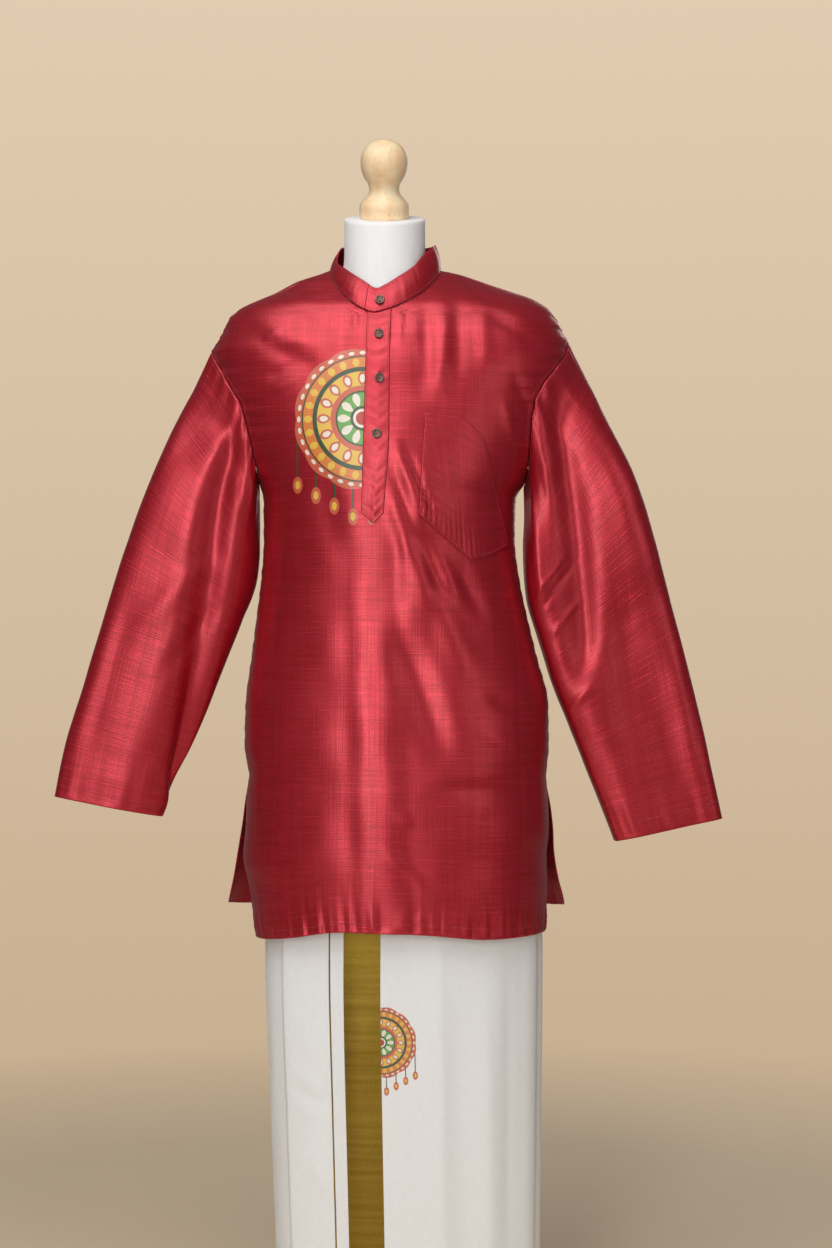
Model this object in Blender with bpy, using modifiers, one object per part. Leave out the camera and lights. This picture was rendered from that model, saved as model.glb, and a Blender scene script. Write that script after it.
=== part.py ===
"""Kurta set on a dress form: a long-sleeved silk kurta and a wound mundu on a limbless form.

Metres, +Z up. The garment faces -Y, and +X is the wearer's left. The origin is on the floor,
at the centre of the round base's underside. Each cloth piece is an open surface worked out
from its sections, with its wall laid inwards by a Solidify modifier.
"""

import math
from collections import namedtuple

import bmesh
import bpy
import numpy as np
from mathutils import Matrix, Vector
from mathutils.bvhtree import BVHTree

# Walls and clearances
SILK_WALL = 0.0016
COTTON_WALL = 0.0012
SEAM_GAP = 0.0004
SHOULDER_SEAM_GAP = 0.0010
LAP_GAP = 0.0006

# Kurta body: what the shared tables do not hold
NECK_HIGH_Z = 1.469
SLIT_TOP_Z = 0.770
SLIT_OPENS_IN = 0.060
SLIT_FRONT_ANGLE = 83.0
SLIT_BACK_ANGLE = 98.0
HALF_PANEL_COLUMNS = 10
BACK_COLUMNS = 18
ANGLE_STEP = 1.0
HEIGHT_STEP = 0.002
RAY_REACH = 0.02
SHORTEST_STEP = 1e-5
SHOULDER_FROM_Z = 1.276

# Sleeves
SLEEVE_COLUMNS = 26
SLEEVE_RINGS = 14
ARMHOLE_BLEND = 0.34

# Collar band and placket
NECK_CENTRE_X = -0.017
NECK_HALF_WIDTH = 0.0755
COLLAR_SEAM_GAP = 0.0011
COLLAR_LAP = 0.0026
COLLAR_LAP_FADE = 110.0
COLLAR_BULGE = 0.0020
COLLAR_OVER_ANGLES = (-20.0, -15.0)
COLLAR_LOW_ANGLE = -10.0
COLLAR_UNDER_ANGLES = (357.0, 364.0)
COLLAR_ROWS = 4
PLACKET_DROP = 0.0014
PLACKET_COLUMNS = 5
PLACKET_ROWS = 20

# Buttons
BUTTON_RADIUS = 0.0064
BUTTON_HEIGHT = 0.0026
BUTTON_STEPS = 12

# Mundu
MUNDU_FREE_EDGE_ANGLE = -54.0
MUNDU_HIDDEN_END_ANGLE = 412.0
MUNDU_LAYER_STEP = 0.0036
MUNDU_STEP_FROM = 205.0
MUNDU_STEP_TO = 296.0
MUNDU_COLUMNS = 46
MUNDU_ROWS = 10

# Dress form
FORM_COLUMNS = 32
NECK_TILT = math.radians(16.0)
NECK_TILT_FROM_Z = 1.478
NECK_TOP_Z = 1.540
KNOB_CENTRE_X = -0.0185
POLE_RADIUS = 0.014
POLE_SIDES = 24
BASE_STEPS = 32
BASE_RADIUS = 0.190
BASE_THICKNESS = 0.014
BASE_BOSS_RADIUS = 0.036
BASE_BOSS_HEIGHT = 0.012
BASE_BEVEL = 0.005
PART_GAP = 0.0003

# Outline of the kurta from the front, shoulder ridge to slit, with the depth of each section
# before and behind the shoulder line, and how square the section is (2 is an ellipse)
BodySection = namedtuple("BodySection", "z left right front back square")
BODY = [
    BodySection(1.4690, -0.0930, 0.0590, 0.012, 0.060, 2.00),
    BodySection(1.4640, -0.1060, 0.0820, 0.022, 0.064, 2.00),
    BodySection(1.4540, -0.1360, 0.1125, 0.035, 0.071, 2.00),
    BodySection(1.4470, -0.1500, 0.1325, 0.0425, 0.075, 2.00),
    BodySection(1.4370, -0.1686, 0.1618, 0.053, 0.081, 2.00),
    BodySection(1.4290, -0.1877, 0.1836, 0.061, 0.086, 2.00),
    BodySection(1.4160, -0.2149, 0.2040, 0.073, 0.093, 2.00),
    BodySection(1.4020, -0.2298, 0.2149, 0.082, 0.099, 2.00),
    BodySection(1.3880, -0.2366, 0.2217, 0.090, 0.103, 2.00),
    BodySection(1.3730, -0.2440, 0.2295, 0.097, 0.107, 2.00),
    BodySection(1.3570, -0.2530, 0.2330, 0.102, 0.110, 2.02),
    BodySection(1.3300, -0.2475, 0.2315, 0.109, 0.114, 2.05),
    BodySection(1.3000, -0.2430, 0.2265, 0.114, 0.118, 2.10),
    BodySection(1.2500, -0.2240, 0.2070, 0.121, 0.120, 2.15),
    BodySection(1.2000, -0.1990, 0.1820, 0.125, 0.118, 2.20),
    BodySection(1.1780, -0.1885, 0.1715, 0.126, 0.115, 2.22),
    BodySection(1.1570, -0.1825, 0.1605, 0.126, 0.112, 2.25),
    BodySection(1.1030, -0.1822, 0.1590, 0.123, 0.105, 2.25),
    BodySection(1.0430, -0.1863, 0.1660, 0.119, 0.100, 2.25),
    BodySection(1.0100, -0.1904, 0.1727, 0.118, 0.099, 2.28),
    BodySection(0.9450, -0.1986, 0.1885, 0.121, 0.105, 2.32),
    BodySection(0.8800, -0.2067, 0.2040, 0.125, 0.112, 2.36),
    BodySection(0.8240, -0.2080, 0.2047, 0.128, 0.117, 2.40),
    BodySection(0.7820, -0.2020, 0.2013, 0.130, 0.120, 2.40),
    BodySection(0.7650, -0.2040, 0.2020, 0.131, 0.121, 2.40),
    BodySection(0.5500, -0.2040, 0.2020, 0.133, 0.125, 2.40),
]

# Where the panels end, in degrees round from the centre front: the shoulder seam and armhole
# (the side seam below them is at 90), for the wearer's right (left in view) and left
PanelEdge = namedtuple("PanelEdge", "z front_left front_right back_left back_right")
EDGES = [
    PanelEdge(1.4690, 80.0, 80.0, 80.0, 80.0),
    PanelEdge(1.4470, 66.0, 66.0, 66.0, 66.0),
    PanelEdge(1.4290, 74.0, 74.0, 74.0, 74.0),
    PanelEdge(1.4020, 80.0, 80.0, 80.0, 80.0),
    PanelEdge(1.3730, 82.0, 83.0, 82.0, 83.0),
    PanelEdge(1.3640, 82.5, 78.0, 82.5, 95.0),
    PanelEdge(1.3570, 83.0, 75.0, 83.0, 98.0),
    PanelEdge(1.3480, 79.0, 71.0, 95.0, 100.0),
    PanelEdge(1.3360, 75.0, 66.0, 99.0, 101.0),
    PanelEdge(1.3100, 67.0, 58.0, 103.0, 104.0),
    PanelEdge(1.2860, 61.0, 55.0, 106.0, 106.0),
    PanelEdge(1.2620, 61.0, 57.0, 107.0, 107.0),
    PanelEdge(1.2380, 63.0, 61.0, 107.0, 107.0),
    PanelEdge(1.2200, 66.0, 66.0, 106.0, 106.0),
    PanelEdge(1.2020, 70.0, 72.0, 104.0, 104.0),
    PanelEdge(1.1860, 78.0, 82.0, 98.0, 97.0),
    PanelEdge(1.1760, 90.0, 90.0, 90.0, 90.0),
    PanelEdge(0.7700, 90.0, 90.0, 90.0, 90.0),
]
NOTCH_Z = {-1: 1.3570, 1: 1.3730}
UNDERARM_Z = 1.1760

# Heights of the panels' rows: by the neckline, down the armhole, then evenly to the slit's top
NECK_ROW_HEIGHTS = (
    1.4655, 1.4590, 1.4500, 1.4400, 1.4300, 1.4200, 1.4110, 1.4045, 1.4005,
)
ARMHOLE_ROW_HEIGHTS = (
    1.3880, 1.3730, 1.3570, 1.3480, 1.3360, 1.3100, 1.2860, 1.2620, 1.2380, 1.2080, 1.1860, 1.1760,
)
LOWER_ROWS = 10

# How far the slit edges stand out from the outline, going down from the slit's top
Flare = namedtuple("Flare", "z front_left front_right back_left back_right")
FLARES = [
    Flare(0.770, 0.000, 0.000, 0.000, 0.000),
    Flare(0.712, -0.003, 0.003, -0.012, 0.012),
    Flare(0.676, -0.006, 0.000, -0.018, 0.014),
    Flare(0.640, 0.001, 0.001, -0.024, 0.020),
    Flare(0.606, 0.006, 0.000, -0.031, 0.028),
    Flare(0.560, 0.012, -0.002, -0.034, 0.030),
]

# Height of the hems round the body, by the share of the way across each panel
HemRow = namedtuple("HemRow", "across front back")
HEM = [
    HemRow(-1.00, 0.5680, 0.6070),
    HemRow(-0.75, 0.5700, 0.6010),
    HemRow(-0.45, 0.5770, 0.5980),
    HemRow(-0.15, 0.5870, 0.5990),
    HemRow(0.10, 0.5850, 0.5990),
    HemRow(0.45, 0.5760, 0.5980),
    HemRow(0.80, 0.5760, 0.6000),
    HemRow(1.00, 0.5760, 0.6040),
]
SKIRT_ROWS = 5

# Neckline round the neck, in degrees from the centre front towards +X: its height, the height
# of the collar's top edge above it, and how far the band leans in for each metre that it rises
NeckRow = namedtuple("NeckRow", "angle seam_z top_z lean")
NECK_ROUND = [
    NeckRow(-10.0, 1.4005, 1.4350, 0.44),
    NeckRow(2.0, 1.4045, 1.4410, 0.44),
    NeckRow(16.0, 1.4126, 1.4510, 0.44),
    NeckRow(38.0, 1.4283, 1.4665, 0.42),
    NeckRow(58.0, 1.4460, 1.4860, 0.36),
    NeckRow(76.0, 1.4600, 1.4985, 0.27),
    NeckRow(83.0, 1.4678, 1.5020, 0.24),
    NeckRow(90.0, 1.4690, 1.5040, 0.21),
    NeckRow(130.0, 1.4690, 1.5060, 0.12),
    NeckRow(180.0, 1.4690, 1.5060, 0.08),
    NeckRow(230.0, 1.4690, 1.5060, 0.16),
    NeckRow(270.0, 1.4690, 1.5000, 0.49),
    NeckRow(276.5, 1.4682, 1.4900, 0.49),
    NeckRow(281.0, 1.4625, 1.4806, 0.49),
    NeckRow(298.0, 1.4420, 1.4680, 0.48),
    NeckRow(315.0, 1.4250, 1.4570, 0.46),
    NeckRow(334.0, 1.4080, 1.4445, 0.44),
]
NECKLINE = (
    [row._replace(angle=row.angle - 360.0) for row in NECK_ROUND[-6:]]
    + NECK_ROUND
    + [row._replace(angle=row.angle + 360.0) for row in NECK_ROUND[:3]]
)

# Folds of the two body panels: a line in front view, its width to either side and how far it
# stands out (or, below zero, in)
Fold = namedtuple("Fold", "x_top z_top x_low z_low width height")
FRONT_FOLDS = [
    Fold(-0.050, 1.110, -0.022, 0.560, 0.026, 0.0085),
    Fold(-0.004, 1.010, 0.085, 0.830, 0.022, -0.0065),
    Fold(0.018, 1.050, 0.100, 0.925, 0.018, 0.0055),
    Fold(-0.006, 1.240, 0.050, 1.095, 0.022, 0.0015),
    Fold(0.120, 0.930, 0.150, 0.600, 0.030, 0.0050),
    Fold(-0.120, 0.980, -0.135, 0.600, 0.030, 0.0045),
    Fold(-0.078, 0.960, -0.080, 0.590, 0.024, -0.0045),
    Fold(0.036, 1.395, 0.036, 1.290, 0.016, -0.0045),
    Fold(-0.072, 1.400, -0.074, 1.330, 0.014, -0.0030),
    Fold(-0.010, 0.705, 0.045, 0.630, 0.012, 0.0030),
    Fold(0.055, 0.772, 0.190, 0.770, 0.012, -0.0030),
]
BACK_FOLDS = [
    Fold(-0.060, 1.330, -0.085, 0.600, 0.030, 0.0065),
    Fold(0.000, 1.180, 0.012, 0.600, 0.026, -0.0060),
    Fold(0.070, 1.330, 0.090, 0.600, 0.030, 0.0065),
    Fold(-0.140, 1.120, -0.150, 0.620, 0.024, -0.0040),
    Fold(0.140, 1.120, 0.150, 0.620, 0.024, -0.0040),
]

# Sleeve outline in front view: outer edge, inner edge, and half the depth of the tube.
# "Sharp" presses the ring from an ellipse (1) to a lens with a creased outer edge
SleeveSection = namedtuple("SleeveSection", "outer_x outer_z inner_x inner_z depth sharp")
SLEEVES = {
    "sleeve_right": [
        SleeveSection(-0.2530, 1.3570, -0.1885, 1.1760, 0.062, 1.00),
        SleeveSection(-0.2775, 1.3070, -0.1872, 1.1350, 0.062, 1.00),
        SleeveSection(-0.3045, 1.2520, -0.1872, 1.0960, 0.058, 1.05),
        SleeveSection(-0.3386, 1.1710, -0.1925, 1.0430, 0.052, 1.10),
        SleeveSection(-0.3686, 1.0890, -0.2110, 0.9940, 0.046, 1.15),
        SleeveSection(-0.3985, 0.9940, -0.2370, 0.9290, 0.040, 1.20),
        SleeveSection(-0.4284, 0.8960, -0.2692, 0.8470, 0.034, 1.25),
        SleeveSection(-0.4488, 0.8310, -0.2965, 0.7870, 0.030, 1.30),
        SleeveSection(-0.4651, 0.7560, -0.3196, 0.7270, 0.027, 1.30),
    ],
    "sleeve_left": [
        SleeveSection(0.2305, 1.3730, 0.1720, 1.1760, 0.062, 1.00),
        SleeveSection(0.2570, 1.3200, 0.1722, 1.1370, 0.062, 1.00),
        SleeveSection(0.2815, 1.2660, 0.1705, 1.0920, 0.058, 1.05),
        SleeveSection(0.3210, 1.1840, 0.1745, 1.0270, 0.052, 1.10),
        SleeveSection(0.3468, 1.1030, 0.1915, 0.9670, 0.046, 1.15),
        SleeveSection(0.3672, 1.0260, 0.2105, 0.9060, 0.040, 1.20),
        SleeveSection(0.3930, 0.9290, 0.2339, 0.8470, 0.034, 1.25),
        SleeveSection(0.4162, 0.8310, 0.2625, 0.7760, 0.030, 1.30),
        SleeveSection(0.4393, 0.7260, 0.2938, 0.6948, 0.027, 1.30),
    ],
}
Sample = namedtuple("Sample", "key value")
SLEEVE_SIDE = {"sleeve_right": -1, "sleeve_left": 1}

# Sleeve folds: a line from one share of the length and round the ring to another, its width
# round the ring, and its height. Round is 0 at the outer edge, 0.25 in front, 0.5 inside
SleeveFold = namedtuple("SleeveFold", "along_top round_top along_low round_low width height")
SLEEVE_FOLDS = {
    "sleeve_right": [
        SleeveFold(0.06, 0.27, 0.78, 0.36, 0.045, 0.0065),
        SleeveFold(0.10, 0.19, 0.84, 0.30, 0.040, -0.0075),
        SleeveFold(0.30, 0.11, 1.02, 0.16, 0.050, 0.0050),
        SleeveFold(0.12, 0.72, 0.90, 0.66, 0.050, 0.0055),
        SleeveFold(0.15, 0.84, 0.95, 0.80, 0.045, -0.0050),
    ],
    "sleeve_left": [
        SleeveFold(0.04, 0.37, 0.48, 0.38, 0.032, 0.0060),
        SleeveFold(0.05, 0.28, 0.55, 0.30, 0.036, -0.0080),
        SleeveFold(0.08, 0.17, 0.66, 0.20, 0.045, 0.0060),
        SleeveFold(0.45, 0.30, 1.02, 0.26, 0.050, -0.0055),
        SleeveFold(0.10, 0.70, 0.90, 0.66, 0.050, 0.0050),
        SleeveFold(0.15, 0.84, 0.95, 0.80, 0.045, -0.0050),
    ],
}

# Placket: its two long edges, from the neck seam to the pointed end
PlacketRow = namedtuple("PlacketRow", "z left right")
PLACKET = [
    PlacketRow(1.4000, -0.0400, -0.0080),
    PlacketRow(1.3460, -0.0412, -0.0100),
    PlacketRow(1.2400, -0.0440, -0.0105),
    PlacketRow(1.1330, -0.0470, -0.0177),
]
PLACKET_POINT = (-0.0310, 1.1200)

# Chest pocket: top and bottom edges by the share of the way across
PocketRow = namedtuple("PocketRow", "across top_x top_z low_x low_z")
POCKET = [
    PocketRow(0.00, 0.0362, 1.2638, 0.0271, 1.1307),
    PocketRow(0.55, 0.0832, 1.2598, 0.0962, 1.0721),
    PocketRow(0.78, 0.1000, 1.2460, 0.1222, 1.0792),
    PocketRow(1.00, 0.1138, 1.2302, 0.1475, 1.0935),
]
POCKET_COLUMNS = 16
POCKET_GAP = 0.0010
POCKET_ROWS = 9

# Buttons: place in front view, and turns about X and Z as they hang
ButtonPlace = namedtuple("ButtonPlace", "name x z nod turn")
BUTTONS = [
    ButtonPlace("button_1_collar", -0.0235, 1.4170, 0.0, 0.0),
    ButtonPlace("button_2", -0.0240, 1.3690, 9.0, -10.0),
    ButtonPlace("button_3", -0.0233, 1.3100, 11.0, 6.0),
    ButtonPlace("button_4", -0.0266, 1.2366, 2.0, 2.0),
]

# Mundu: outline and depth, from the hidden waist to the hem, and how square it is
MunduSection = namedtuple("MunduSection", "z left right front back square")
MUNDU = [
    MunduSection(1.000, -0.1500, 0.1500, 0.1000, 0.0920, 2.00),
    MunduSection(0.900, -0.1690, 0.1750, 0.1070, 0.0990, 2.10),
    MunduSection(0.800, -0.1780, 0.1860, 0.1100, 0.1030, 2.20),
    MunduSection(0.680, -0.1820, 0.1920, 0.1110, 0.1060, 2.30),
    MunduSection(0.542, -0.1835, 0.1965, 0.1120, 0.1080, 2.35),
    MunduSection(0.350, -0.1765, 0.1950, 0.1110, 0.1060, 2.40),
    MunduSection(0.150, -0.1690, 0.1930, 0.1100, 0.1040, 2.40),
    MunduSection(0.075, -0.1670, 0.1920, 0.1095, 0.1035, 2.40),
]
MunduFold = namedtuple("MunduFold", "angle_top angle_low z_top width height")
MUNDU_FOLDS = [
    MunduFold(9.0, 10.0, 0.74, 7.0, 0.0045),
    MunduFold(52.0, 50.0, 0.66, 8.0, -0.0030),
    MunduFold(76.0, 74.0, 0.74, 5.0, -0.0035),
    MunduFold(-28.0, -27.0, 0.62, 8.0, -0.0025),
    MunduFold(128.0, 132.0, 0.80, 9.0, 0.0050),
    MunduFold(166.0, 162.0, 0.80, 8.0, -0.0045),
    MunduFold(200.0, 204.0, 0.80, 9.0, 0.0050),
]

# Dress form: outline and depths of the torso, and the neck's radius where the two meet
FormSection = namedtuple("FormSection", "z centre left right front back neck")
FORM = [
    FormSection(1.5400, -0.0180, -0.0580, 0.0220, 0.030, 0.030, 0.0543),
    FormSection(1.5000, -0.0180, -0.0580, 0.0220, 0.030, 0.030, 0.0544),
    FormSection(1.4780, -0.0180, -0.0620, 0.0260, 0.026, 0.034, 0.0545),
    FormSection(1.4640, -0.0180, -0.0820, 0.0460, 0.020, 0.046, 0.0550),
    FormSection(1.4512, -0.0180, -0.1340, 0.1105, 0.027, 0.060, 0.0555),
    FormSection(1.4347, -0.0175, -0.1675, 0.1605, 0.044, 0.072, 0.0560),
    FormSection(1.4262, -0.0165, -0.1865, 0.1820, 0.052, 0.078, 0.0570),
    FormSection(1.4122, -0.0150, -0.2050, 0.1940, 0.061, 0.084, 0.0580),
    FormSection(1.3950, -0.0120, -0.2120, 0.2000, 0.073, 0.090, 0.0580),
    FormSection(1.3700, -0.0090, -0.2120, 0.1990, 0.084, 0.097, 0.0500),
    FormSection(1.3350, -0.0080, -0.2060, 0.1920, 0.096, 0.103, 0.0300),
    FormSection(1.3000, -0.0090, -0.1940, 0.1790, 0.103, 0.107, 0.0300),
    FormSection(1.2500, -0.0100, -0.1780, 0.1600, 0.110, 0.110, 0.0300),
    FormSection(1.2000, -0.0100, -0.1670, 0.1480, 0.113, 0.107, 0.0300),
    FormSection(1.1570, -0.0100, -0.1620, 0.1410, 0.112, 0.102, 0.0300),
    FormSection(1.1000, -0.0080, -0.1560, 0.1370, 0.106, 0.095, 0.0300),
    FormSection(1.0400, -0.0030, -0.1440, 0.1390, 0.096, 0.087, 0.0300),
    FormSection(0.9950, 0.0000, -0.1447, 0.1447, 0.0943, 0.0865, 0.0300),
    FormSection(0.9400, 0.0020, -0.1540, 0.1580, 0.096, 0.088, 0.0300),
    FormSection(0.8700, 0.0030, -0.1640, 0.1720, 0.100, 0.092, 0.0300),
    FormSection(0.8100, 0.0030, -0.1660, 0.1740, 0.101, 0.093, 0.0300),
    FormSection(0.7750, 0.0030, -0.1580, 0.1660, 0.095, 0.087, 0.0300),
    FormSection(0.7600, 0.0030, -0.1420, 0.1500, 0.083, 0.076, 0.0300),
]
FORM_SMOOTH_POWER = 8.0
FORM_UNDERSIDE_Z = FORM[-1].z

# Turned knob, from its crown down to its foot: radius and height above the neck
KnobPoint = namedtuple("KnobPoint", "radius height")
KNOB = [
    KnobPoint(0.0000, 0.1060),
    KnobPoint(0.0110, 0.1042),
    KnobPoint(0.0205, 0.0990),
    KnobPoint(0.0270, 0.0920),
    KnobPoint(0.0310, 0.0830),
    KnobPoint(0.0320, 0.0745),
    KnobPoint(0.0308, 0.0640),
    KnobPoint(0.0270, 0.0540),
    KnobPoint(0.0222, 0.0465),
    KnobPoint(0.0204, 0.0390),
    KnobPoint(0.0220, 0.0325),
    KnobPoint(0.0275, 0.0262),
    KnobPoint(0.0325, 0.0200),
    KnobPoint(0.0340, 0.0130),
    KnobPoint(0.0338, 0.0040),
    KnobPoint(0.0326, 0.0000),
    KnobPoint(0.0000, 0.0000),
]
KNOB_STEPS = 22

# Colours from the photograph, as Blender's linear values, with roughness and metallic
Finish = namedtuple("Finish", "colour roughness metallic")
FINISHES = {
    "silk": Finish((0.47, 0.030, 0.055), 0.38, 0.25),
    "cotton": Finish((0.80, 0.79, 0.75), 0.85, 0.0),
    "jersey": Finish((0.88, 0.88, 0.87), 0.80, 0.0),
    "beech": Finish((0.78, 0.47, 0.22), 0.45, 0.0),
    "steel": Finish((0.30, 0.30, 0.31), 0.40, 0.8),
    "shell": Finish((0.16, 0.105, 0.085), 0.25, 0.0),
}


def column(rows, name):
    """One named column of a table as an array."""
    return np.array([getattr(row, name) for row in rows])


def read_table(rows, key, name, at):
    """A table's column at other places of its key, joined by a smooth curve through its rows."""
    keys = column(rows, key)
    values = column(rows, name)
    if keys[0] > keys[-1]:
        keys = keys[::-1]
        values = values[::-1]
    at = np.clip(np.asarray(at, dtype=float), keys[0], keys[-1])
    slopes = np.diff(values) / np.diff(keys)
    before = np.concatenate([slopes[:1], slopes])
    after = np.concatenate([slopes, slopes[-1:]])
    steepest = 2.0 * np.minimum(np.abs(before), np.abs(after))
    tangents = np.where(before * after > 0.0, (before + after) / 2.0, 0.0)
    tangents = np.clip(tangents, -steepest, steepest)
    index = np.clip(np.searchsorted(keys, at, side="right") - 1, 0, len(keys) - 2)
    width = keys[index + 1] - keys[index]
    t = (at - keys[index]) / width
    start = values[index] * (1 + 2 * t) * (1 - t) ** 2 + tangents[index] * width * t * (1 - t) ** 2
    end = values[index + 1] * t**2 * (3 - 2 * t) + tangents[index + 1] * width * t**2 * (t - 1)
    return start + end


def read_straight(rows, key, name, at):
    """A table's column at other places of its key, joined by straight lines."""
    keys = column(rows, key)
    values = column(rows, name)
    if keys[0] > keys[-1]:
        keys = keys[::-1]
        values = values[::-1]
    return np.interp(at, keys, values)


def ease(t):
    """0 to 1 with a level start and end."""
    t = np.clip(t, 0.0, 1.0)
    return t * t * (3.0 - 2.0 * t)


def fold_height(folds, x, z):
    """How far the folds lift a panel: a bell across each line, eased off at its two ends."""
    lift = np.zeros(np.broadcast(x, z).shape)
    for fold in folds:
        run = np.array([fold.x_low - fold.x_top, fold.z_low - fold.z_top])
        length = np.hypot(run[0], run[1])
        along = ((x - fold.x_top) * run[0] + (z - fold.z_top) * run[1]) / length**2
        off = ((x - fold.x_top) * run[1] - (z - fold.z_top) * run[0]) / length
        fade = ease(along / 0.18 + 0.35) * ease((1.0 - along) / 0.14 + 0.5)
        lift += fold.height * np.exp(-((off / fold.width) ** 2)) * fade
    return lift


def body_frame(z, panel):
    """Centre, half-width, depth and squareness of the kurta's body at a height."""
    left = read_table(BODY, "z", "left", z)
    right = read_table(BODY, "z", "right", z)
    if panel:
        left = left + read_table(FLARES, "z", panel + "_left", z) * (z < SLIT_TOP_Z)
        right = right + read_table(FLARES, "z", panel + "_right", z) * (z < SLIT_TOP_Z)
    front = read_table(BODY, "z", "front", z)
    back = read_table(BODY, "z", "back", z)
    square = read_table(BODY, "z", "square", z)
    return (left + right) / 2.0, (right - left) / 2.0, front, back, square


def body_point(angle, z, panel=""):
    """Points of the kurta's outer face. The angle runs from -180 to 180 degrees, 0 in front."""
    angle, z = np.broadcast_arrays(np.asarray(angle, dtype=float), np.asarray(z, dtype=float))
    centre, half, front, back, square = body_frame(z, panel)
    turn = np.radians(angle)
    depth = np.where(np.cos(turn) >= 0.0, front, back)
    across = np.sign(np.sin(turn)) * np.abs(np.sin(turn)) ** (2.0 / square)
    ahead = np.sign(np.cos(turn)) * np.abs(np.cos(turn)) ** (2.0 / square)
    x = centre + half * across
    lift = np.where(
        np.cos(turn) >= 0.0, fold_height(FRONT_FOLDS, x, z), fold_height(BACK_FOLDS, x, z)
    )
    lift = lift * ease(2.2 * np.abs(np.cos(turn)))
    out_x = across / half
    out_y = -ahead / depth
    size = np.hypot(out_x, out_y)
    x = x + lift * out_x / size
    y = -depth * ahead + lift * out_y / size
    return np.stack([x, y, z], axis=-1)


def front_angle_at(x, z):
    """The angle of the front face at a place in front view."""
    centre, half, _, _, square = body_frame(z, "front")
    share = np.clip((x - centre) / half, -1.0, 1.0)
    return np.degrees(np.arcsin(np.sign(share) * np.abs(share) ** (square / 2.0)))


def front_point_at(x, z):
    """A point of the front face at a place in front view, and the way that the face looks."""
    angle = front_angle_at(x, z)
    here = body_point(angle, z, "front")
    aside = body_point(angle + ANGLE_STEP, z, "front") - here
    lower = z - HEIGHT_STEP
    below = body_point(front_angle_at(x, lower), lower, "front") - here
    normal = np.cross(below, aside)
    return here, normal / np.linalg.norm(normal, axis=-1, keepdims=True)


def lay_on(tree, x, z, lift):
    """Points moved out from the front panel's own facets, at places in front view."""
    points, normals = front_point_at(x, z)
    for index in np.ndindex(points.shape[:-1]):
        normal = Vector(normals[index])
        start = Vector(points[index]) + normal * RAY_REACH
        hit = tree.ray_cast(start, -normal, 2.0 * RAY_REACH)[0]
        points[index] = (hit if hit else Vector(points[index])) + normal * lift
    return points


def seam_shift(angle, z, panel=""):
    """Half the seam gap as an angle of the body's section; it is wider on the bent shoulder."""
    after = body_point(angle + ANGLE_STEP / 2.0, z, panel)
    before = body_point(angle - ANGLE_STEP / 2.0, z, panel)
    step = np.linalg.norm(after - before, axis=-1)
    gap = np.where(z > SHOULDER_FROM_Z, SHOULDER_SEAM_GAP, SEAM_GAP)
    return gap / 2.0 * ANGLE_STEP / np.maximum(step, SHORTEST_STEP)


def neck_angle(z, side):
    """The neckline's angle at a height, on one side of the centre front."""
    angles = np.linspace(COLLAR_LOW_ANGLE, 90.0 if side > 0 else -90.0, 120)
    return np.interp(z, read_table(NECKLINE, "angle", "seam_z", angles), angles)


def neck_x(angle):
    """How far across the neckline stands at its angle."""
    return NECK_CENTRE_X + NECK_HALF_WIDTH * np.sin(np.radians(angle))


def grid_mesh(name, grid, joined=False, flip=False):
    """A mesh on a grid of points: rows run down, columns run anticlockwise seen from above."""
    rows, columns = grid.shape[:2]
    vertices = grid.reshape(-1, 3)
    last = columns if joined else columns - 1
    faces = []
    for row in range(rows - 1):
        for start in range(last):
            after = (start + 1) % columns
            face = [
                row * columns + start,
                (row + 1) * columns + start,
                (row + 1) * columns + after,
                row * columns + after,
            ]
            faces.append(face[::-1] if flip else face)
    mesh = bpy.data.meshes.new(name)
    mesh.from_pydata(vertices.tolist(), [], faces)
    mesh.update()
    return mesh


def material(name):
    """A plain Principled material in the colour of the finish."""
    found = bpy.data.materials.get(name)
    if found:
        return found
    finish = FINISHES[name]
    made = bpy.data.materials.new(name)
    made.use_nodes = True
    shader = made.node_tree.nodes["Principled BSDF"]
    shader.inputs["Base Color"].default_value = (*finish.colour, 1.0)
    shader.inputs["Roughness"].default_value = finish.roughness
    shader.inputs["Metallic"].default_value = finish.metallic
    made.diffuse_color = (*finish.colour, 1.0)
    return made


def add_object(name, mesh, finish, collection):
    """Put a mesh in the scene as one named part."""
    part = bpy.data.objects.new(name, mesh)
    part.data.materials.append(material(finish))
    mesh.shade_smooth()
    collection.objects.link(part)
    return part


def add_cloth(name, mesh, finish, wall, collection):
    """A cloth piece: the outer face with its wall laid inwards."""
    part = add_object(name, mesh, finish, collection)
    solidify = part.modifiers.new("wall", "SOLIDIFY")
    solidify.thickness = wall
    solidify.offset = -1.0
    solidify.use_even_offset = False
    return part


def edge_angle(panel, side, z):
    """Where a panel ends on one side, short of the seam by half its gap."""
    name = panel + ("_left" if side < 0 else "_right")
    angle = read_straight(EDGES, "z", name, z)
    slit = SLIT_FRONT_ANGLE if panel == "front" else SLIT_BACK_ANGLE
    opened = ease((SLIT_TOP_Z - z) / SLIT_OPENS_IN)
    angle = angle + (slit - 90.0) * opened
    shift = seam_shift(side * angle, z, panel)
    return side * (angle - shift if panel == "front" else angle + shift)


def panel_heights():
    """Heights of the rows that both body panels share, from the neck to the slit's top."""
    lower = np.linspace(UNDERARM_Z, SLIT_TOP_Z, LOWER_ROWS + 1)[1:]
    return np.concatenate([NECK_ROW_HEIGHTS, ARMHOLE_ROW_HEIGHTS, lower])


def skirt_row(panel, share, across):
    """Height of a row of the skirt, at its share of the way from the slit's top to the hem."""
    hem = read_table(HEM, "across", panel, across)
    return SLIT_TOP_Z + (hem - SLIT_TOP_Z) * share


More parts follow.
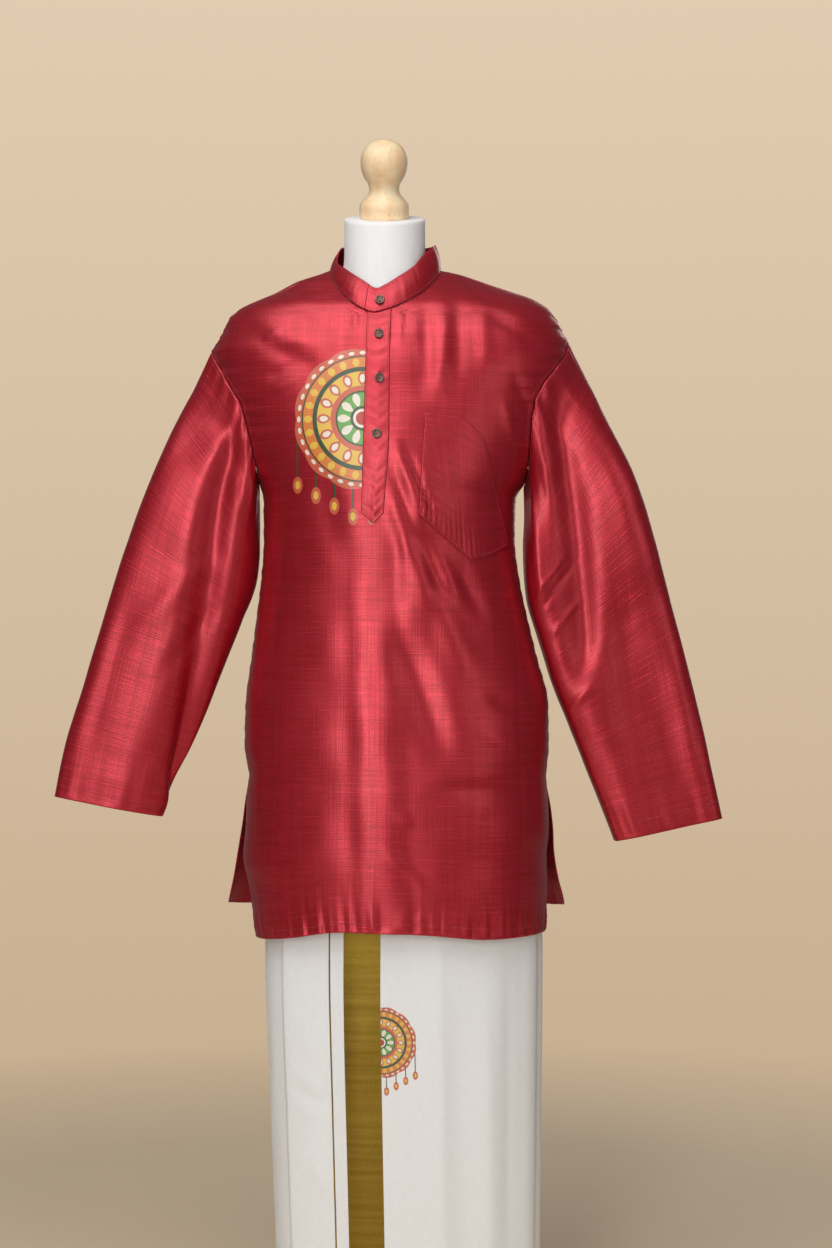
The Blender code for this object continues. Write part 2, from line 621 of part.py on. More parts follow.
def front_half(side):
    """Grid of one half of the front, from the centre front out to the seam."""
    share = np.linspace(0.0, 1.0, HALF_PANEL_COLUMNS + 1)
    rows = []
    for z in panel_heights():
        outer = edge_angle("front", side, z)
        inner = front_angle_at(neck_x(neck_angle(z, side)), z)
        angles = inner + (outer - inner) * share
        rows.append(body_point(angles, z, "front"))
    for step in range(1, SKIRT_ROWS + 1):
        z = skirt_row("front", step / SKIRT_ROWS, side * share)
        outer = edge_angle("front", side, z)
        inner = front_angle_at(neck_x(COLLAR_LOW_ANGLE), z)
        rows.append(body_point(inner + (outer - inner) * share, z, "front"))
    return np.array(rows)


def add_front(collection):
    """Front of the kurta: two halves that meet below the neckline."""
    left = front_half(-1)[:, ::-1]
    right = front_half(1)
    mesh = grid_mesh("kurta_front", left)
    other = grid_mesh("kurta_front_half", right)
    work = bmesh.new()
    work.from_mesh(mesh)
    work.from_mesh(other)
    bmesh.ops.remove_doubles(work, verts=work.verts, dist=0.0001)
    bmesh.ops.triangulate(work, faces=work.faces)
    tree = BVHTree.FromBMesh(work)
    work.to_mesh(mesh)
    work.free()
    bpy.data.meshes.remove(other)
    add_cloth("kurta_front", mesh, "silk", SILK_WALL, collection)
    return tree


def back_angles(z):
    """Angles of the back's columns, from the wearer's left, round behind, to the right side."""
    share = np.linspace(0.0, 1.0, BACK_COLUMNS + 1)
    start = edge_angle("back", 1, z)
    end = 360.0 + edge_angle("back", -1, z)
    return start + (end - start) * share


def add_back(collection):
    """Back of the kurta, which comes over the shoulders to the seam in front of them."""
    across = np.linspace(1.0, -1.0, BACK_COLUMNS + 1)
    rows = [body_point(back_angles(NECK_HIGH_Z), NECK_HIGH_Z, "back")]
    for z in panel_heights():
        rows.append(body_point(back_angles(z), z, "back"))
    for step in range(1, SKIRT_ROWS + 1):
        z = skirt_row("back", step / SKIRT_ROWS, across)
        rows.append(body_point(back_angles(z), z, "back"))
    mesh = grid_mesh("kurta_back", np.array(rows))
    return add_cloth("kurta_back", mesh, "silk", SILK_WALL, collection)


def armhole_loop(side, around):
    """The armhole's points, from the shoulder seam down the front and up the back."""
    front = around <= 0.5
    drop = np.where(front, around, 1.0 - around) * 2.0
    z = NOTCH_Z[side] + (UNDERARM_Z - NOTCH_Z[side]) * (1.0 - np.cos(np.pi * drop)) / 2.0
    ends = "_left" if side < 0 else "_right"
    ahead = read_straight(EDGES, "z", "front" + ends, z)
    behind = read_straight(EDGES, "z", "back" + ends, z)
    return body_point(side * np.where(front, ahead, behind), z)


def ring_point(sections, along, around):
    """A sleeve's ring: across from the outer to the inner edge, and deep by a rounded or lens wave."""
    keys = np.linspace(0.0, 1.0, len(sections))
    turn = 2.0 * np.pi * around
    across = (1.0 - np.cos(turn)) / 2.0
    values = {}
    for name in SleeveSection._fields:
        table = [Sample(key, getattr(row, name)) for key, row in zip(keys, sections)]
        values[name] = read_table(table, "key", "value", along)
    x = values["outer_x"] + (values["inner_x"] - values["outer_x"]) * across
    z = values["outer_z"] + (values["inner_z"] - values["outer_z"]) * across
    wave = np.sign(np.sin(turn)) * np.abs(np.sin(turn)) ** values["sharp"]
    return np.stack([x, -values["depth"] * wave, z], axis=-1)


def sleeve_lift(folds, along, around):
    """How far the folds lift a sleeve's wall."""
    lift = np.zeros(np.broadcast(along, around).shape)
    for fold in folds:
        share = np.clip(
            (along - fold.along_top) / (fold.along_low - fold.along_top), 0.0, 1.0
        )
        place = fold.round_top + (fold.round_low - fold.round_top) * share
        fade = ease((along - fold.along_top) / 0.14) * ease((fold.along_low - along) / 0.12)
        lift += fold.height * np.exp(-(((around - place) / fold.width) ** 2)) * fade
    return lift


def sleeve_grid(name):
    """Grid of a sleeve's outer face, from the armhole's loop to the lens-shaped cuff."""
    side = SLEEVE_SIDE[name]
    sections = SLEEVES[name]
    around = np.arange(SLEEVE_COLUMNS) / SLEEVE_COLUMNS
    along = np.linspace(0.0, 1.0, SLEEVE_RINGS)[:, None]
    rings = ring_point(sections, along, around[None, :])
    first = ring_point(sections, 0.0, around)
    loop = armhole_loop(side, around)
    loop[:, 0] += side * SEAM_GAP * 1.5
    rings = rings + (loop - first)[None] * (1.0 - ease(along / ARMHOLE_BLEND))[..., None]
    middle = rings.mean(axis=1, keepdims=True)
    out = rings - middle
    out[..., 1] *= 2.0
    out = out / np.linalg.norm(out, axis=-1, keepdims=True)
    lift = sleeve_lift(SLEEVE_FOLDS[name], along, around[None, :])
    return rings + out * lift[..., None]


def add_sleeve(name, collection):
    """A sleeve: an open tube from the armhole to the cuff."""
    mesh = grid_mesh(name, sleeve_grid(name), joined=True, flip=SLEEVE_SIDE[name] > 0)
    return add_cloth(name, mesh, "silk", SILK_WALL, collection)


def neck_seam_point(angle):
    """A point of the neck seam, on the face of the panels that it joins."""
    z = read_table(NECKLINE, "angle", "seam_z", angle)
    centre, half, _, _, _ = body_frame(z, "")
    share = np.clip((neck_x(angle) - centre) / half, -0.9999, 0.9999)
    ahead = np.degrees(np.arcsin(share))
    facing = np.cos(np.radians(angle)) >= 0.0
    return body_point(np.where(facing, ahead, 180.0 - ahead), z)


def collar_angles():
    """The collar's columns: at the panels' own corners along the neck seam, then the lapped end."""
    heights = np.array(NECK_ROW_HEIGHTS)
    over = neck_angle(heights[::-1], 1)
    under = neck_angle(heights, -1) + 360.0
    back_x = body_point(back_angles(NECK_HIGH_Z), NECK_HIGH_Z)[:, 0]
    share = np.clip((back_x - NECK_CENTRE_X) / NECK_HALF_WIDTH, -1.0, 1.0)
    behind = 180.0 - np.degrees(np.arcsin(share))[2:-2]
    return np.concatenate([COLLAR_OVER_ANGLES, over, behind, under, COLLAR_UNDER_ANGLES])


def collar_point(angle, share):
    """A point of the collar's outer face, at its share of the way up from the neck seam."""
    base = neck_seam_point(angle)
    turn = np.radians(angle)
    rise = read_table(NECKLINE, "angle", "top_z", angle) - base[..., 2]
    lean = read_table(NECKLINE, "angle", "lean", angle) * rise
    lapped = COLLAR_LAP * (1.0 - ease((angle - COLLAR_OVER_ANGLES[0]) / COLLAR_LAP_FADE))
    out = lapped + COLLAR_BULGE * np.sin(np.pi * share) - lean * share
    x = base[..., 0] + np.sin(turn) * out
    y = base[..., 1] - np.cos(turn) * out
    z = base[..., 2] + rise * share + COLLAR_SEAM_GAP * (1.0 - share)
    return np.stack([x, y, z], axis=-1)


def add_collar(collection):
    """Stand collar: a band round the neck seam whose ends lap at the centre front."""
    angles = collar_angles()
    rows = [collar_point(angles, share) for share in np.linspace(1.0, 0.0, COLLAR_ROWS)]
    mesh = grid_mesh("collar", np.array(rows))
    return add_cloth("collar", mesh, "silk", SILK_WALL, collection)


def seam_height_at(x):
    """Height of the neck seam in front, at a place across."""
    angles = np.linspace(-60.0, 60.0, 80)
    return np.interp(x, neck_x(angles), read_table(NECKLINE, "angle", "seam_z", angles))


def add_placket(tree, collection):
    """Front placket: a strip laid on the front, from the neck seam to its pointed end."""
    share = np.linspace(0.0, 1.0, PLACKET_COLUMNS)
    low = PLACKET[-1]
    point_share = (PLACKET_POINT[0] - low.left) / (low.right - low.left)
    low_edge = np.where(
        share < point_share,
        low.z + (PLACKET_POINT[1] - low.z) * share / point_share,
        low.z + (PLACKET_POINT[1] - low.z) * (1.0 - share) / (1.0 - point_share),
    )
    rows = []
    for step in np.linspace(0.0, 1.0, PLACKET_ROWS):
        guess = PLACKET[0].z + (low.z - PLACKET[0].z) * step
        left = read_table(PLACKET, "z", "left", guess)
        right = read_table(PLACKET, "z", "right", guess)
        x = left + (right - left) * share
        top = seam_height_at(x) - PLACKET_DROP
        z = top + (low_edge - top) * step
        rows.append(lay_on(tree, x, z, LAP_GAP + SILK_WALL))
    mesh = grid_mesh("placket", np.array(rows))
    return add_cloth("placket", mesh, "silk", SILK_WALL, collection)


def add_pocket(tree, collection):
    """Chest pocket: a patch with a pointed bottom, laid on the front."""
    across = np.linspace(0.0, 1.0, POCKET_COLUMNS + 1)
    edge = {name: read_straight(POCKET, "across", name, across) for name in PocketRow._fields}
    rows = []
    for step in np.linspace(0.0, 1.0, POCKET_ROWS + 1):
        x = edge["top_x"] + (edge["low_x"] - edge["top_x"]) * step
        z = edge["top_z"] + (edge["low_z"] - edge["top_z"]) * step
        rows.append(lay_on(tree, x, z, POCKET_GAP + SILK_WALL))
    mesh = grid_mesh("chest_pocket", np.array(rows))
    return add_cloth("chest_pocket", mesh, "silk", SILK_WALL, collection)


def turned(name, profile, steps, finish, collection):
    """A turned solid: the profile runs down its outer side, from axis to axis."""
    mesh = bpy.data.meshes.new(name)
    points = [(radius, 0.0, height) for radius, height in profile]
    edges = [(index, index + 1) for index in range(len(points) - 1)]
    mesh.from_pydata(points, edges, [])
    part = add_object(name, mesh, finish, collection)
    screw = part.modifiers.new("turning", "SCREW")
    screw.steps = steps
    screw.render_steps = steps
    screw.use_merge_vertices = True
    screw.merge_threshold = 0.0001
    screw.use_smooth_shade = True
    return part


def button_profile():
    """Half-section of a button: a raised rim round a dished face."""
    radius = BUTTON_RADIUS
    height = BUTTON_HEIGHT
    return [
        (0.0, 0.62 * height),
        (0.48 * radius, 0.62 * height),
        (0.72 * radius, height),
        (0.90 * radius, height),
        (radius, 0.60 * height),
        (0.94 * radius, 0.12 * height),
        (0.80 * radius, 0.0),
        (0.0, 0.0),
    ]


def collar_face_point(x, z):
    """A point on the collar's overlapping end, and the way it faces."""
    angle = math.degrees(math.asin((x - NECK_CENTRE_X) / NECK_HALF_WIDTH))
    low, high = collar_point(angle, 0.0), collar_point(angle, 1.0)
    share = (z - low[2]) / (high[2] - low[2])
    spot = collar_point(angle, share)
    aside = collar_point(angle + 1.0, share) - spot
    below = collar_point(angle, share - 0.05) - spot
    return Vector(spot), Vector(np.cross(below, aside)).normalized()


def add_button(place, tree, collection):
    """A sewn button, face out from the band or the placket, as it hangs."""
    part = turned(place.name, button_profile(), BUTTON_STEPS, "shell", collection)
    if place.name == "button_1_collar":
        spot, normal = collar_face_point(place.x, place.z)
    else:
        x = np.array([place.x])
        z = np.array([place.z])
        spot = Vector(lay_on(tree, x, z, LAP_GAP + SILK_WALL)[0])
        normal = Vector(front_point_at(x, z)[1][0])
    tilt = math.radians(max(abs(place.nod), abs(place.turn)))
    stand = LAP_GAP + BUTTON_RADIUS * 0.8 * math.tan(tilt)
    facing = normal.to_track_quat("Z", "Y").to_matrix()
    lean = Matrix.Rotation(math.radians(place.nod), 3, "X")
    swing = Matrix.Rotation(math.radians(place.turn), 3, "Y")
    part.matrix_world = Matrix.Translation(spot + normal * stand) @ (facing @ lean @ swing).to_4x4()
    return part


def mundu_grid():
    """Grid of the mundu's outer face: one turn and a third, the inner end under the outer."""
    angle = np.linspace(MUNDU_FREE_EDGE_ANGLE, MUNDU_HIDDEN_END_ANGLE, MUNDU_COLUMNS + 1)
    turn = np.radians(angle)
    z = np.linspace(MUNDU[0].z, MUNDU[-1].z, MUNDU_ROWS + 1)[:, None]
    values = {name: read_table(MUNDU, "z", name, z) for name in MunduSection._fields}
    centre = (values["left"] + values["right"]) / 2.0
    half = (values["right"] - values["left"]) / 2.0
    depth = np.where(np.cos(turn) >= 0.0, values["front"], values["back"])
    power = 2.0 / values["square"]
    across = np.sign(np.sin(turn)) * np.abs(np.sin(turn)) ** power
    ahead = np.sign(np.cos(turn)) * np.abs(np.cos(turn)) ** power
    out_x = across / half
    out_y = -ahead / depth
    size = np.hypot(out_x, out_y)
    inward = MUNDU_LAYER_STEP * ease(
        (angle - MUNDU_STEP_FROM) / (MUNDU_STEP_TO - MUNDU_STEP_FROM)
    )
    lift = np.zeros(np.broadcast(z, angle).shape)
    for fold in MUNDU_FOLDS:
        share = np.clip((fold.z_top - z) / (fold.z_top - MUNDU[-1].z), 0.0, 1.0)
        place = fold.angle_top + (fold.angle_low - fold.angle_top) * share
        off = (angle[None, :] - place + 180.0) % 360.0 - 180.0
        lift += fold.height * np.exp(-((off / fold.width) ** 2)) * ease(3.0 * share)
    lift = lift - inward
    x = centre + half * across + lift * out_x / size
    y = -depth * ahead + lift * out_y / size
    return np.stack(np.broadcast_arrays(x, y, z), axis=-1)


def add_mundu(collection):
    """The mundu: one long cloth wound round the form from the waist to above the floor."""
    mesh = grid_mesh("mundu", mundu_grid())
    return add_cloth("mundu", mesh, "cotton", COTTON_WALL, collection)


def form_grid():
    """Rings of the form: the torso's oval joined smoothly with the round neck."""
    turn = 2.0 * np.pi * np.arange(FORM_COLUMNS) / FORM_COLUMNS - np.pi / 2.0
    rows = []
    for section in FORM:
        half = np.where(
            np.sin(turn) >= 0.0, section.right - section.centre, section.centre - section.left
        )
        depth = np.where(np.cos(turn) >= 0.0, section.front, section.back)
        x = half * np.sin(turn)
        y = -depth * np.cos(turn)
        oval = np.hypot(x, y)
        power = FORM_SMOOTH_POWER
        radius = (oval**power + section.neck**power) ** (1.0 / power)
        x = section.centre + x * radius / oval
        y = y * radius / oval
        share = ease((section.z - NECK_TILT_FROM_Z) / (NECK_TOP_Z - NECK_TILT_FROM_Z))
        z = section.z + y * math.tan(NECK_TILT) * share
        rows.append(np.stack([x, y, z], axis=-1))
    return np.array(rows)


def add_form(collection):
    """Torso and neck of the dress form in jersey, closed at the neck and underneath."""
    grid = form_grid()
    mesh = grid_mesh("form_torso", grid, joined=True)
    work = bmesh.new()
    work.from_mesh(mesh)
    work.verts.ensure_lookup_table()
    count = FORM_COLUMNS
    top = [work.verts[index] for index in range(count)]
    low = [work.verts[index] for index in range(len(work.verts) - count, len(work.verts))]
    work.faces.new(top)
    work.faces.new(low[::-1])
    work.to_mesh(mesh)
    work.free()
    return add_object("form_torso", mesh, "jersey", collection)


def add_knob(collection):
    """Turned beech knob that stands square on the tilted top of the neck."""
    profile = [(point.radius, point.height) for point in KNOB]
    part = turned("form_knob", profile, KNOB_STEPS, "beech", collection)
    up = Vector((0.0, -math.sin(NECK_TILT), math.cos(NECK_TILT)))
    seat = Vector((KNOB_CENTRE_X, 0.0, NECK_TOP_Z)) + up * PART_GAP
    part.matrix_world = Matrix.Translation(seat) @ Matrix.Rotation(NECK_TILT, 4, "X")
    return part


def add_stand(collection):
    """Pole and round base of the form."""
    boss_top = BASE_THICKNESS + BASE_BOSS_HEIGHT
    profile = [
        (0.0, boss_top),
        (0.80 * BASE_BOSS_RADIUS, boss_top),
        (BASE_BOSS_RADIUS, boss_top - BASE_BEVEL),
        (BASE_BOSS_RADIUS, BASE_THICKNESS),
        (BASE_RADIUS - BASE_BEVEL, BASE_THICKNESS),
        (BASE_RADIUS, BASE_THICKNESS - BASE_BEVEL),
        (BASE_RADIUS, 0.4 * BASE_BEVEL),
        (BASE_RADIUS - 0.4 * BASE_BEVEL, 0.0),
        (0.0, 0.0),
    ]
    turned("form_base", profile, BASE_STEPS, "steel", collection)
    low = boss_top + PART_GAP
    high = FORM_UNDERSIDE_Z - PART_GAP
    bpy.ops.mesh.primitive_cylinder_add(
        vertices=POLE_SIDES,
        radius=POLE_RADIUS,
        depth=high - low,
        location=(0.0, 0.0, (high + low) / 2.0),
    )
    pole = bpy.context.object
    pole.name = "form_pole"
    pole.data.name = "form_pole"
    pole.data.materials.append(material("steel"))
    pole.data.shade_smooth()
    pole.data.set_sharp_from_angle(angle=math.radians(40.0))
    for holder in list(pole.users_collection):
        holder.objects.unlink(pole)
    collection.objects.link(pole)


def clear_scene():
    """Remove the objects that the scene holds."""
    for item in list(bpy.data.objects):
        bpy.data.objects.remove(item, do_unlink=True)


def main():
    """Build the kurta set piece by piece."""
    clear_scene()
    collection = bpy.data.collections.new("kurta_set")
    bpy.context.scene.collection.children.link(collection)
    tree = add_front(collection)
    add_back(collection)
    for name in SLEEVES:
        add_sleeve(name, collection)
    add_collar(collection)
    add_placket(tree, collection)
    add_pocket(tree, collection)
    for place in BUTTONS:
        add_button(place, tree, collection)
    add_mundu(collection)
    add_form(collection)
    add_knob(collection)
    add_stand(collection)
    bpy.context.view_layer.update()


main()
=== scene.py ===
"""Kurta set on a dress form, dressed for the render.

Metres, +Z up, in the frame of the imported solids: the garment faces -Y and +X is the wearer's
left. Each cloth piece is a thin shell worked out with numpy on its solid's own form, with finer
creases, and wears a material made of nodes.
"""

from __future__ import annotations

import logging
import math
from dataclasses import dataclass, field
from enum import Enum
from typing import Callable, NamedTuple, Sequence

import bmesh
import bpy
import numpy as np
from mathutils import Matrix, Vector

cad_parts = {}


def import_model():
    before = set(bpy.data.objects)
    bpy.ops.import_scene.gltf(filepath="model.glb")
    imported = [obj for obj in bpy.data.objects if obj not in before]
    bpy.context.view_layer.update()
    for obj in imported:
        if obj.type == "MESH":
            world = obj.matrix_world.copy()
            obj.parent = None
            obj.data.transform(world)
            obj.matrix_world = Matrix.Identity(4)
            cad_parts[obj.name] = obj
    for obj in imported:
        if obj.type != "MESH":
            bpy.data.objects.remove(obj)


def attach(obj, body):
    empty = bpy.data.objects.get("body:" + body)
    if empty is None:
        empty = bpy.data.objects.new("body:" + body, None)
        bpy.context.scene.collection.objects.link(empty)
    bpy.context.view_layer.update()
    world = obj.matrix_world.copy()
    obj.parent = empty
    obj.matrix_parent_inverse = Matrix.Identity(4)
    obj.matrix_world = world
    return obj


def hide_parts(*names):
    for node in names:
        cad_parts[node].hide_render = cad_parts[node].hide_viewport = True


Array = np.ndarray
Surface = Callable[[Array, Array], Array]
Triple = tuple[float, float, float]
LOG = logging.getLogger("kurta_set")
BODY_NAME = "root"
TINY = 1e-12


class Panel(Enum):
    """The two body panels of the kurta."""

    FRONT = "front"
    BACK = "back"


class Side(Enum):
    """The wearer's right, left in the view from in front, and the wearer's left."""

    RIGHT = -1
    LEFT = 1


class Slot(Enum):
    """Material slots."""

    SILK = "silk"
    COTTON = "cotton"
    JERSEY = "jersey"
    BEECH = "beech"
    STEEL = "steel"
    SHELL = "shell"


class Paint(Enum):
    """Linear colours of the printed rosette."""

    CORAL = (0.600, 0.120, 0.055)
    ORANGE = (0.720, 0.220, 0.040)
    YELLOW = (0.800, 0.520, 0.060)
    DARK_GREEN = (0.004, 0.062, 0.020)
    LIGHT_GREEN = (0.110, 0.400, 0.070)
    WHITE = (0.850, 0.800, 0.680)
    RED = (0.480, 0.022, 0.020)


class PetalRing(NamedTuple):
    """A ring of petals on the rosette, from an inner to an outer share of its radius."""

    inner: float
    outer: float
    count: int
    width: float
    paint: Paint


class Lamp(NamedTuple):
    """A soft area light."""

    name: str
    place: Triple
    aim: Triple
    wide: float
    high: float
    watts: float
    colour: Triple


class OvalSection(NamedTuple):
    """Outline of the body or the mundu at a height, its depths, and how square it is."""

    z: float
    left: float
    right: float
    front: float
    back: float
    square: float


class PanelEdge(NamedTuple):
    """Where the panels end at a height, in degrees round from the centre front."""

    z: float
    front_left: float
    front_right: float
    back_left: float
    back_right: float


class HemRow(NamedTuple):
    """Height of both hems by the share of the way across."""

    across: float
    front: float
    back: float


class NeckRow(NamedTuple):
    """Neck seam and collar top at an angle round the neck, and how far the band leans in."""

    angle: float
    seam_z: float
    top_z: float
    lean: float


class Fold(NamedTuple):
    """A fold's line, its width to either side, how far it stands out or in, and how flat its top is."""

    x_top: float
    z_top: float
    x_low: float
    z_low: float
    width: float
    height: float
    power: float = 2.0


class SleeveSection(NamedTuple):
    """Outer and inner edge of a sleeve in front view, its half depth, and how sharp its edges are."""

    outer_x: float
    outer_z: float
    inner_x: float
    inner_z: float
    depth: float
    sharp: float


class SleeveFold(NamedTuple):
    """A sleeve's fold from one share of the length and round to another, and how it bows."""

    along_top: float
    round_top: float
    along_low: float
    round_low: float
    width: float
    height: float
    bow: float = 1.0


class PlacketRow(NamedTuple):
    """Long edges of the placket at a height."""

    z: float
    left: float
    right: float


class PocketRow(NamedTuple):
    """Top and bottom edges of the pocket by the share of the way across."""

    across: float
    top_x: float
    top_z: float
    low_x: float
    low_z: float


class ButtonPlace(NamedTuple):
    """A button's place in front view, and its turns as it hangs."""

    name: str
    x: float
    z: float
    nod: float
    turn: float


class MunduFold(NamedTuple):
    """A fold down the mundu: its angles, where it starts, its width and height."""

    angle_top: float
    angle_low: float
    z_top: float
    width: float
    height: float


class FormSection(NamedTuple):
    """Outline and depths of the form's torso, and the neck's radius."""

    z: float
    centre: float
    left: float
    right: float
    front: float
    back: float
    neck: float


class KnobPoint(NamedTuple):
    """A point of the knob's turned profile."""

    radius: float
    height: float


def rows(kind: type, *values: tuple[float, ...]) -> tuple:
    """A table: one named row for each tuple of values."""
    return tuple(kind(*row) for row in values)


# Sizes shared with the solids
NECK_HIGH_Z = 1.469
SLIT_TOP_Z = 0.770
SLIT_OPENS_IN = 0.060
UNDERARM_Z = 1.1760
SHOULDER_FROM_Z = 1.276
NOTCH_Z = {Side.RIGHT: 1.3570, Side.LEFT: 1.3730}
NECK_CENTRE_X = -0.017
NECK_HALF_WIDTH = 0.0755

BODY = rows(
    OvalSection,
    (1.469, -0.093, 0.059, 0.012, 0.06, 2.0),
    (1.464, -0.106, 0.082, 0.022, 0.064, 2.0),
    (1.454, -0.136, 0.1125, 0.035, 0.071, 2.0),
    (1.447, -0.15, 0.1325, 0.0425, 0.075, 2.0),
    (1.437, -0.1686, 0.1618, 0.053, 0.081, 2.0),
    (1.429, -0.1877, 0.1836, 0.061, 0.086, 2.0),
    (1.416, -0.2149, 0.204, 0.073, 0.093, 2.0),
    (1.402, -0.2298, 0.2149, 0.082, 0.099, 2.0),
    (1.388, -0.2366, 0.2217, 0.09, 0.103, 2.0),
    (1.373, -0.244, 0.2295, 0.097, 0.107, 2.0),
    (1.357, -0.253, 0.233, 0.102, 0.11, 2.02),
    (1.33, -0.2475, 0.2315, 0.109, 0.114, 2.05),
    (1.3, -0.243, 0.2265, 0.114, 0.118, 2.1),
    (1.25, -0.224, 0.207, 0.121, 0.12, 2.15),
    (1.2, -0.199, 0.182, 0.125, 0.118, 2.2),
    (1.178, -0.1885, 0.1715, 0.126, 0.115, 2.22),
    (1.157, -0.1825, 0.1605, 0.126, 0.112, 2.25),
    (1.103, -0.1822, 0.159, 0.123, 0.105, 2.25),
    (1.043, -0.1863, 0.166, 0.119, 0.1, 2.25),
    (1.01, -0.1904, 0.1727, 0.118, 0.099, 2.28),
    (0.945, -0.1986, 0.1885, 0.121, 0.105, 2.32),
    (0.88, -0.2067, 0.204, 0.125, 0.112, 2.36),
    (0.824, -0.208, 0.2047, 0.128, 0.117, 2.4),
    (0.782, -0.202, 0.2013, 0.13, 0.12, 2.4),
    (0.765, -0.204, 0.202, 0.131, 0.121, 2.4),
    (0.55, -0.204, 0.202, 0.133, 0.125, 2.4),
)

EDGES = rows(
    PanelEdge,
    (1.469, 80.0, 80.0, 80.0, 80.0),
    (1.447, 66.0, 66.0, 66.0, 66.0),
    (1.429, 74.0, 74.0, 74.0, 74.0),
    (1.402, 80.0, 80.0, 80.0, 80.0),
    (1.373, 82.0, 83.0, 82.0, 83.0),
    (1.364, 82.5, 78.0, 82.5, 95.0),
    (1.357, 83.0, 75.0, 83.0, 98.0),
    (1.348, 79.0, 71.0, 95.0, 100.0),
    (1.336, 75.0, 66.0, 99.0, 101.0),
    (1.31, 67.0, 58.0, 103.0, 104.0),
    (1.286, 61.0, 55.0, 106.0, 106.0),
    (1.262, 61.0, 57.0, 107.0, 107.0),
    (1.238, 63.0, 61.0, 107.0, 107.0),
    (1.22, 66.0, 66.0, 106.0, 106.0),
    (1.202, 70.0, 72.0, 104.0, 104.0),
    (1.186, 78.0, 82.0, 98.0, 97.0),
    (1.176, 90.0, 90.0, 90.0, 90.0),
    (0.77, 90.0, 90.0, 90.0, 90.0),
)

# How far the slit edges stand out from the outline
FLARES = rows(
    PanelEdge,
    (0.77, 0.0, 0.0, 0.0, 0.0),
    (0.712, -0.003, 0.003, -0.012, 0.012),
    (0.676, -0.006, 0.0, -0.018, 0.014),
    (0.64, 0.001, 0.001, -0.024, 0.02),
    (0.606, 0.006, 0.0, -0.031, 0.028),
    (0.56, 0.012, -0.002, -0.034, 0.03),
)

HEM = rows(
    HemRow,
    (-1.0, 0.568, 0.607),
    (-0.75, 0.57, 0.601),
    (-0.45, 0.577, 0.598),
    (-0.15, 0.587, 0.599),
    (0.1, 0.585, 0.599),
    (0.45, 0.576, 0.598),
    (0.8, 0.576, 0.6),
    (1.0, 0.576, 0.604),
)

NECK_ROUND = rows(
    NeckRow,
    (-10.0, 1.4005, 1.435, 0.44),
    (2.0, 1.4045, 1.441, 0.44),
    (16.0, 1.4126, 1.451, 0.44),
    (38.0, 1.4283, 1.4665, 0.42),
    (58.0, 1.446, 1.486, 0.36),
    (76.0, 1.46, 1.4985, 0.27),
    (83.0, 1.4678, 1.502, 0.24),
    (90.0, 1.469, 1.504, 0.21),
    (130.0, 1.469, 1.506, 0.12),
    (180.0, 1.469, 1.506, 0.08),
    (230.0, 1.469, 1.506, 0.16),
    (270.0, 1.469, 1.5, 0.49),
    (276.5, 1.4682, 1.49, 0.49),
    (281.0, 1.4625, 1.4806, 0.49),
    (298.0, 1.442, 1.468, 0.48),
    (315.0, 1.425, 1.457, 0.46),
    (334.0, 1.408, 1.4445, 0.44),
)
NECKLINE = (
    tuple(row._replace(angle=row.angle - 360.0) for row in NECK_ROUND[-6:])
    + NECK_ROUND
    + tuple(row._replace(angle=row.angle + 360.0) for row in NECK_ROUND[:3])
)

# Large folds of the solids, then the finer creases that only the shells have
FRONT_FOLDS = rows(
    Fold,
    (-0.035, 1.16, -0.018, 0.44, 0.03, 0.0032, 4.0),
    (0.021, 1.15, 0.024, 0.945, 0.019, 0.0034, 3.0),
    (0.18, 1.44, 0.175, 1.3, 0.06, 0.0075),
    (0.002, 0.99, 0.07, 0.79, 0.022, -0.0056),
    (0.012, 1.09, 0.108, 0.9, 0.02, 0.005),
    (-0.006, 1.24, 0.05, 1.095, 0.022, 0.0015),
    (0.12, 0.93, 0.15, 0.48, 0.034, 0.0012),
    (-0.12, 1.02, -0.135, 0.48, 0.034, -0.0016),
    (0.036, 1.42, 0.036, 1.27, 0.016, -0.004),
    (-0.072, 1.41, -0.074, 1.32, 0.014, -0.0025),
    (0.04, 0.772, 0.21, 0.77, 0.012, -0.003),
)
BACK_FOLDS = rows(
    Fold,
    (-0.06, 1.33, -0.085, 0.6, 0.03, 0.0065),
    (0.0, 1.18, 0.012, 0.6, 0.026, -0.006),
    (0.07, 1.33, 0.09, 0.6, 0.03, 0.0065),
    (-0.14, 1.12, -0.15, 0.62, 0.024, -0.004),
    (0.14, 1.12, 0.15, 0.62, 0.024, -0.004),
)
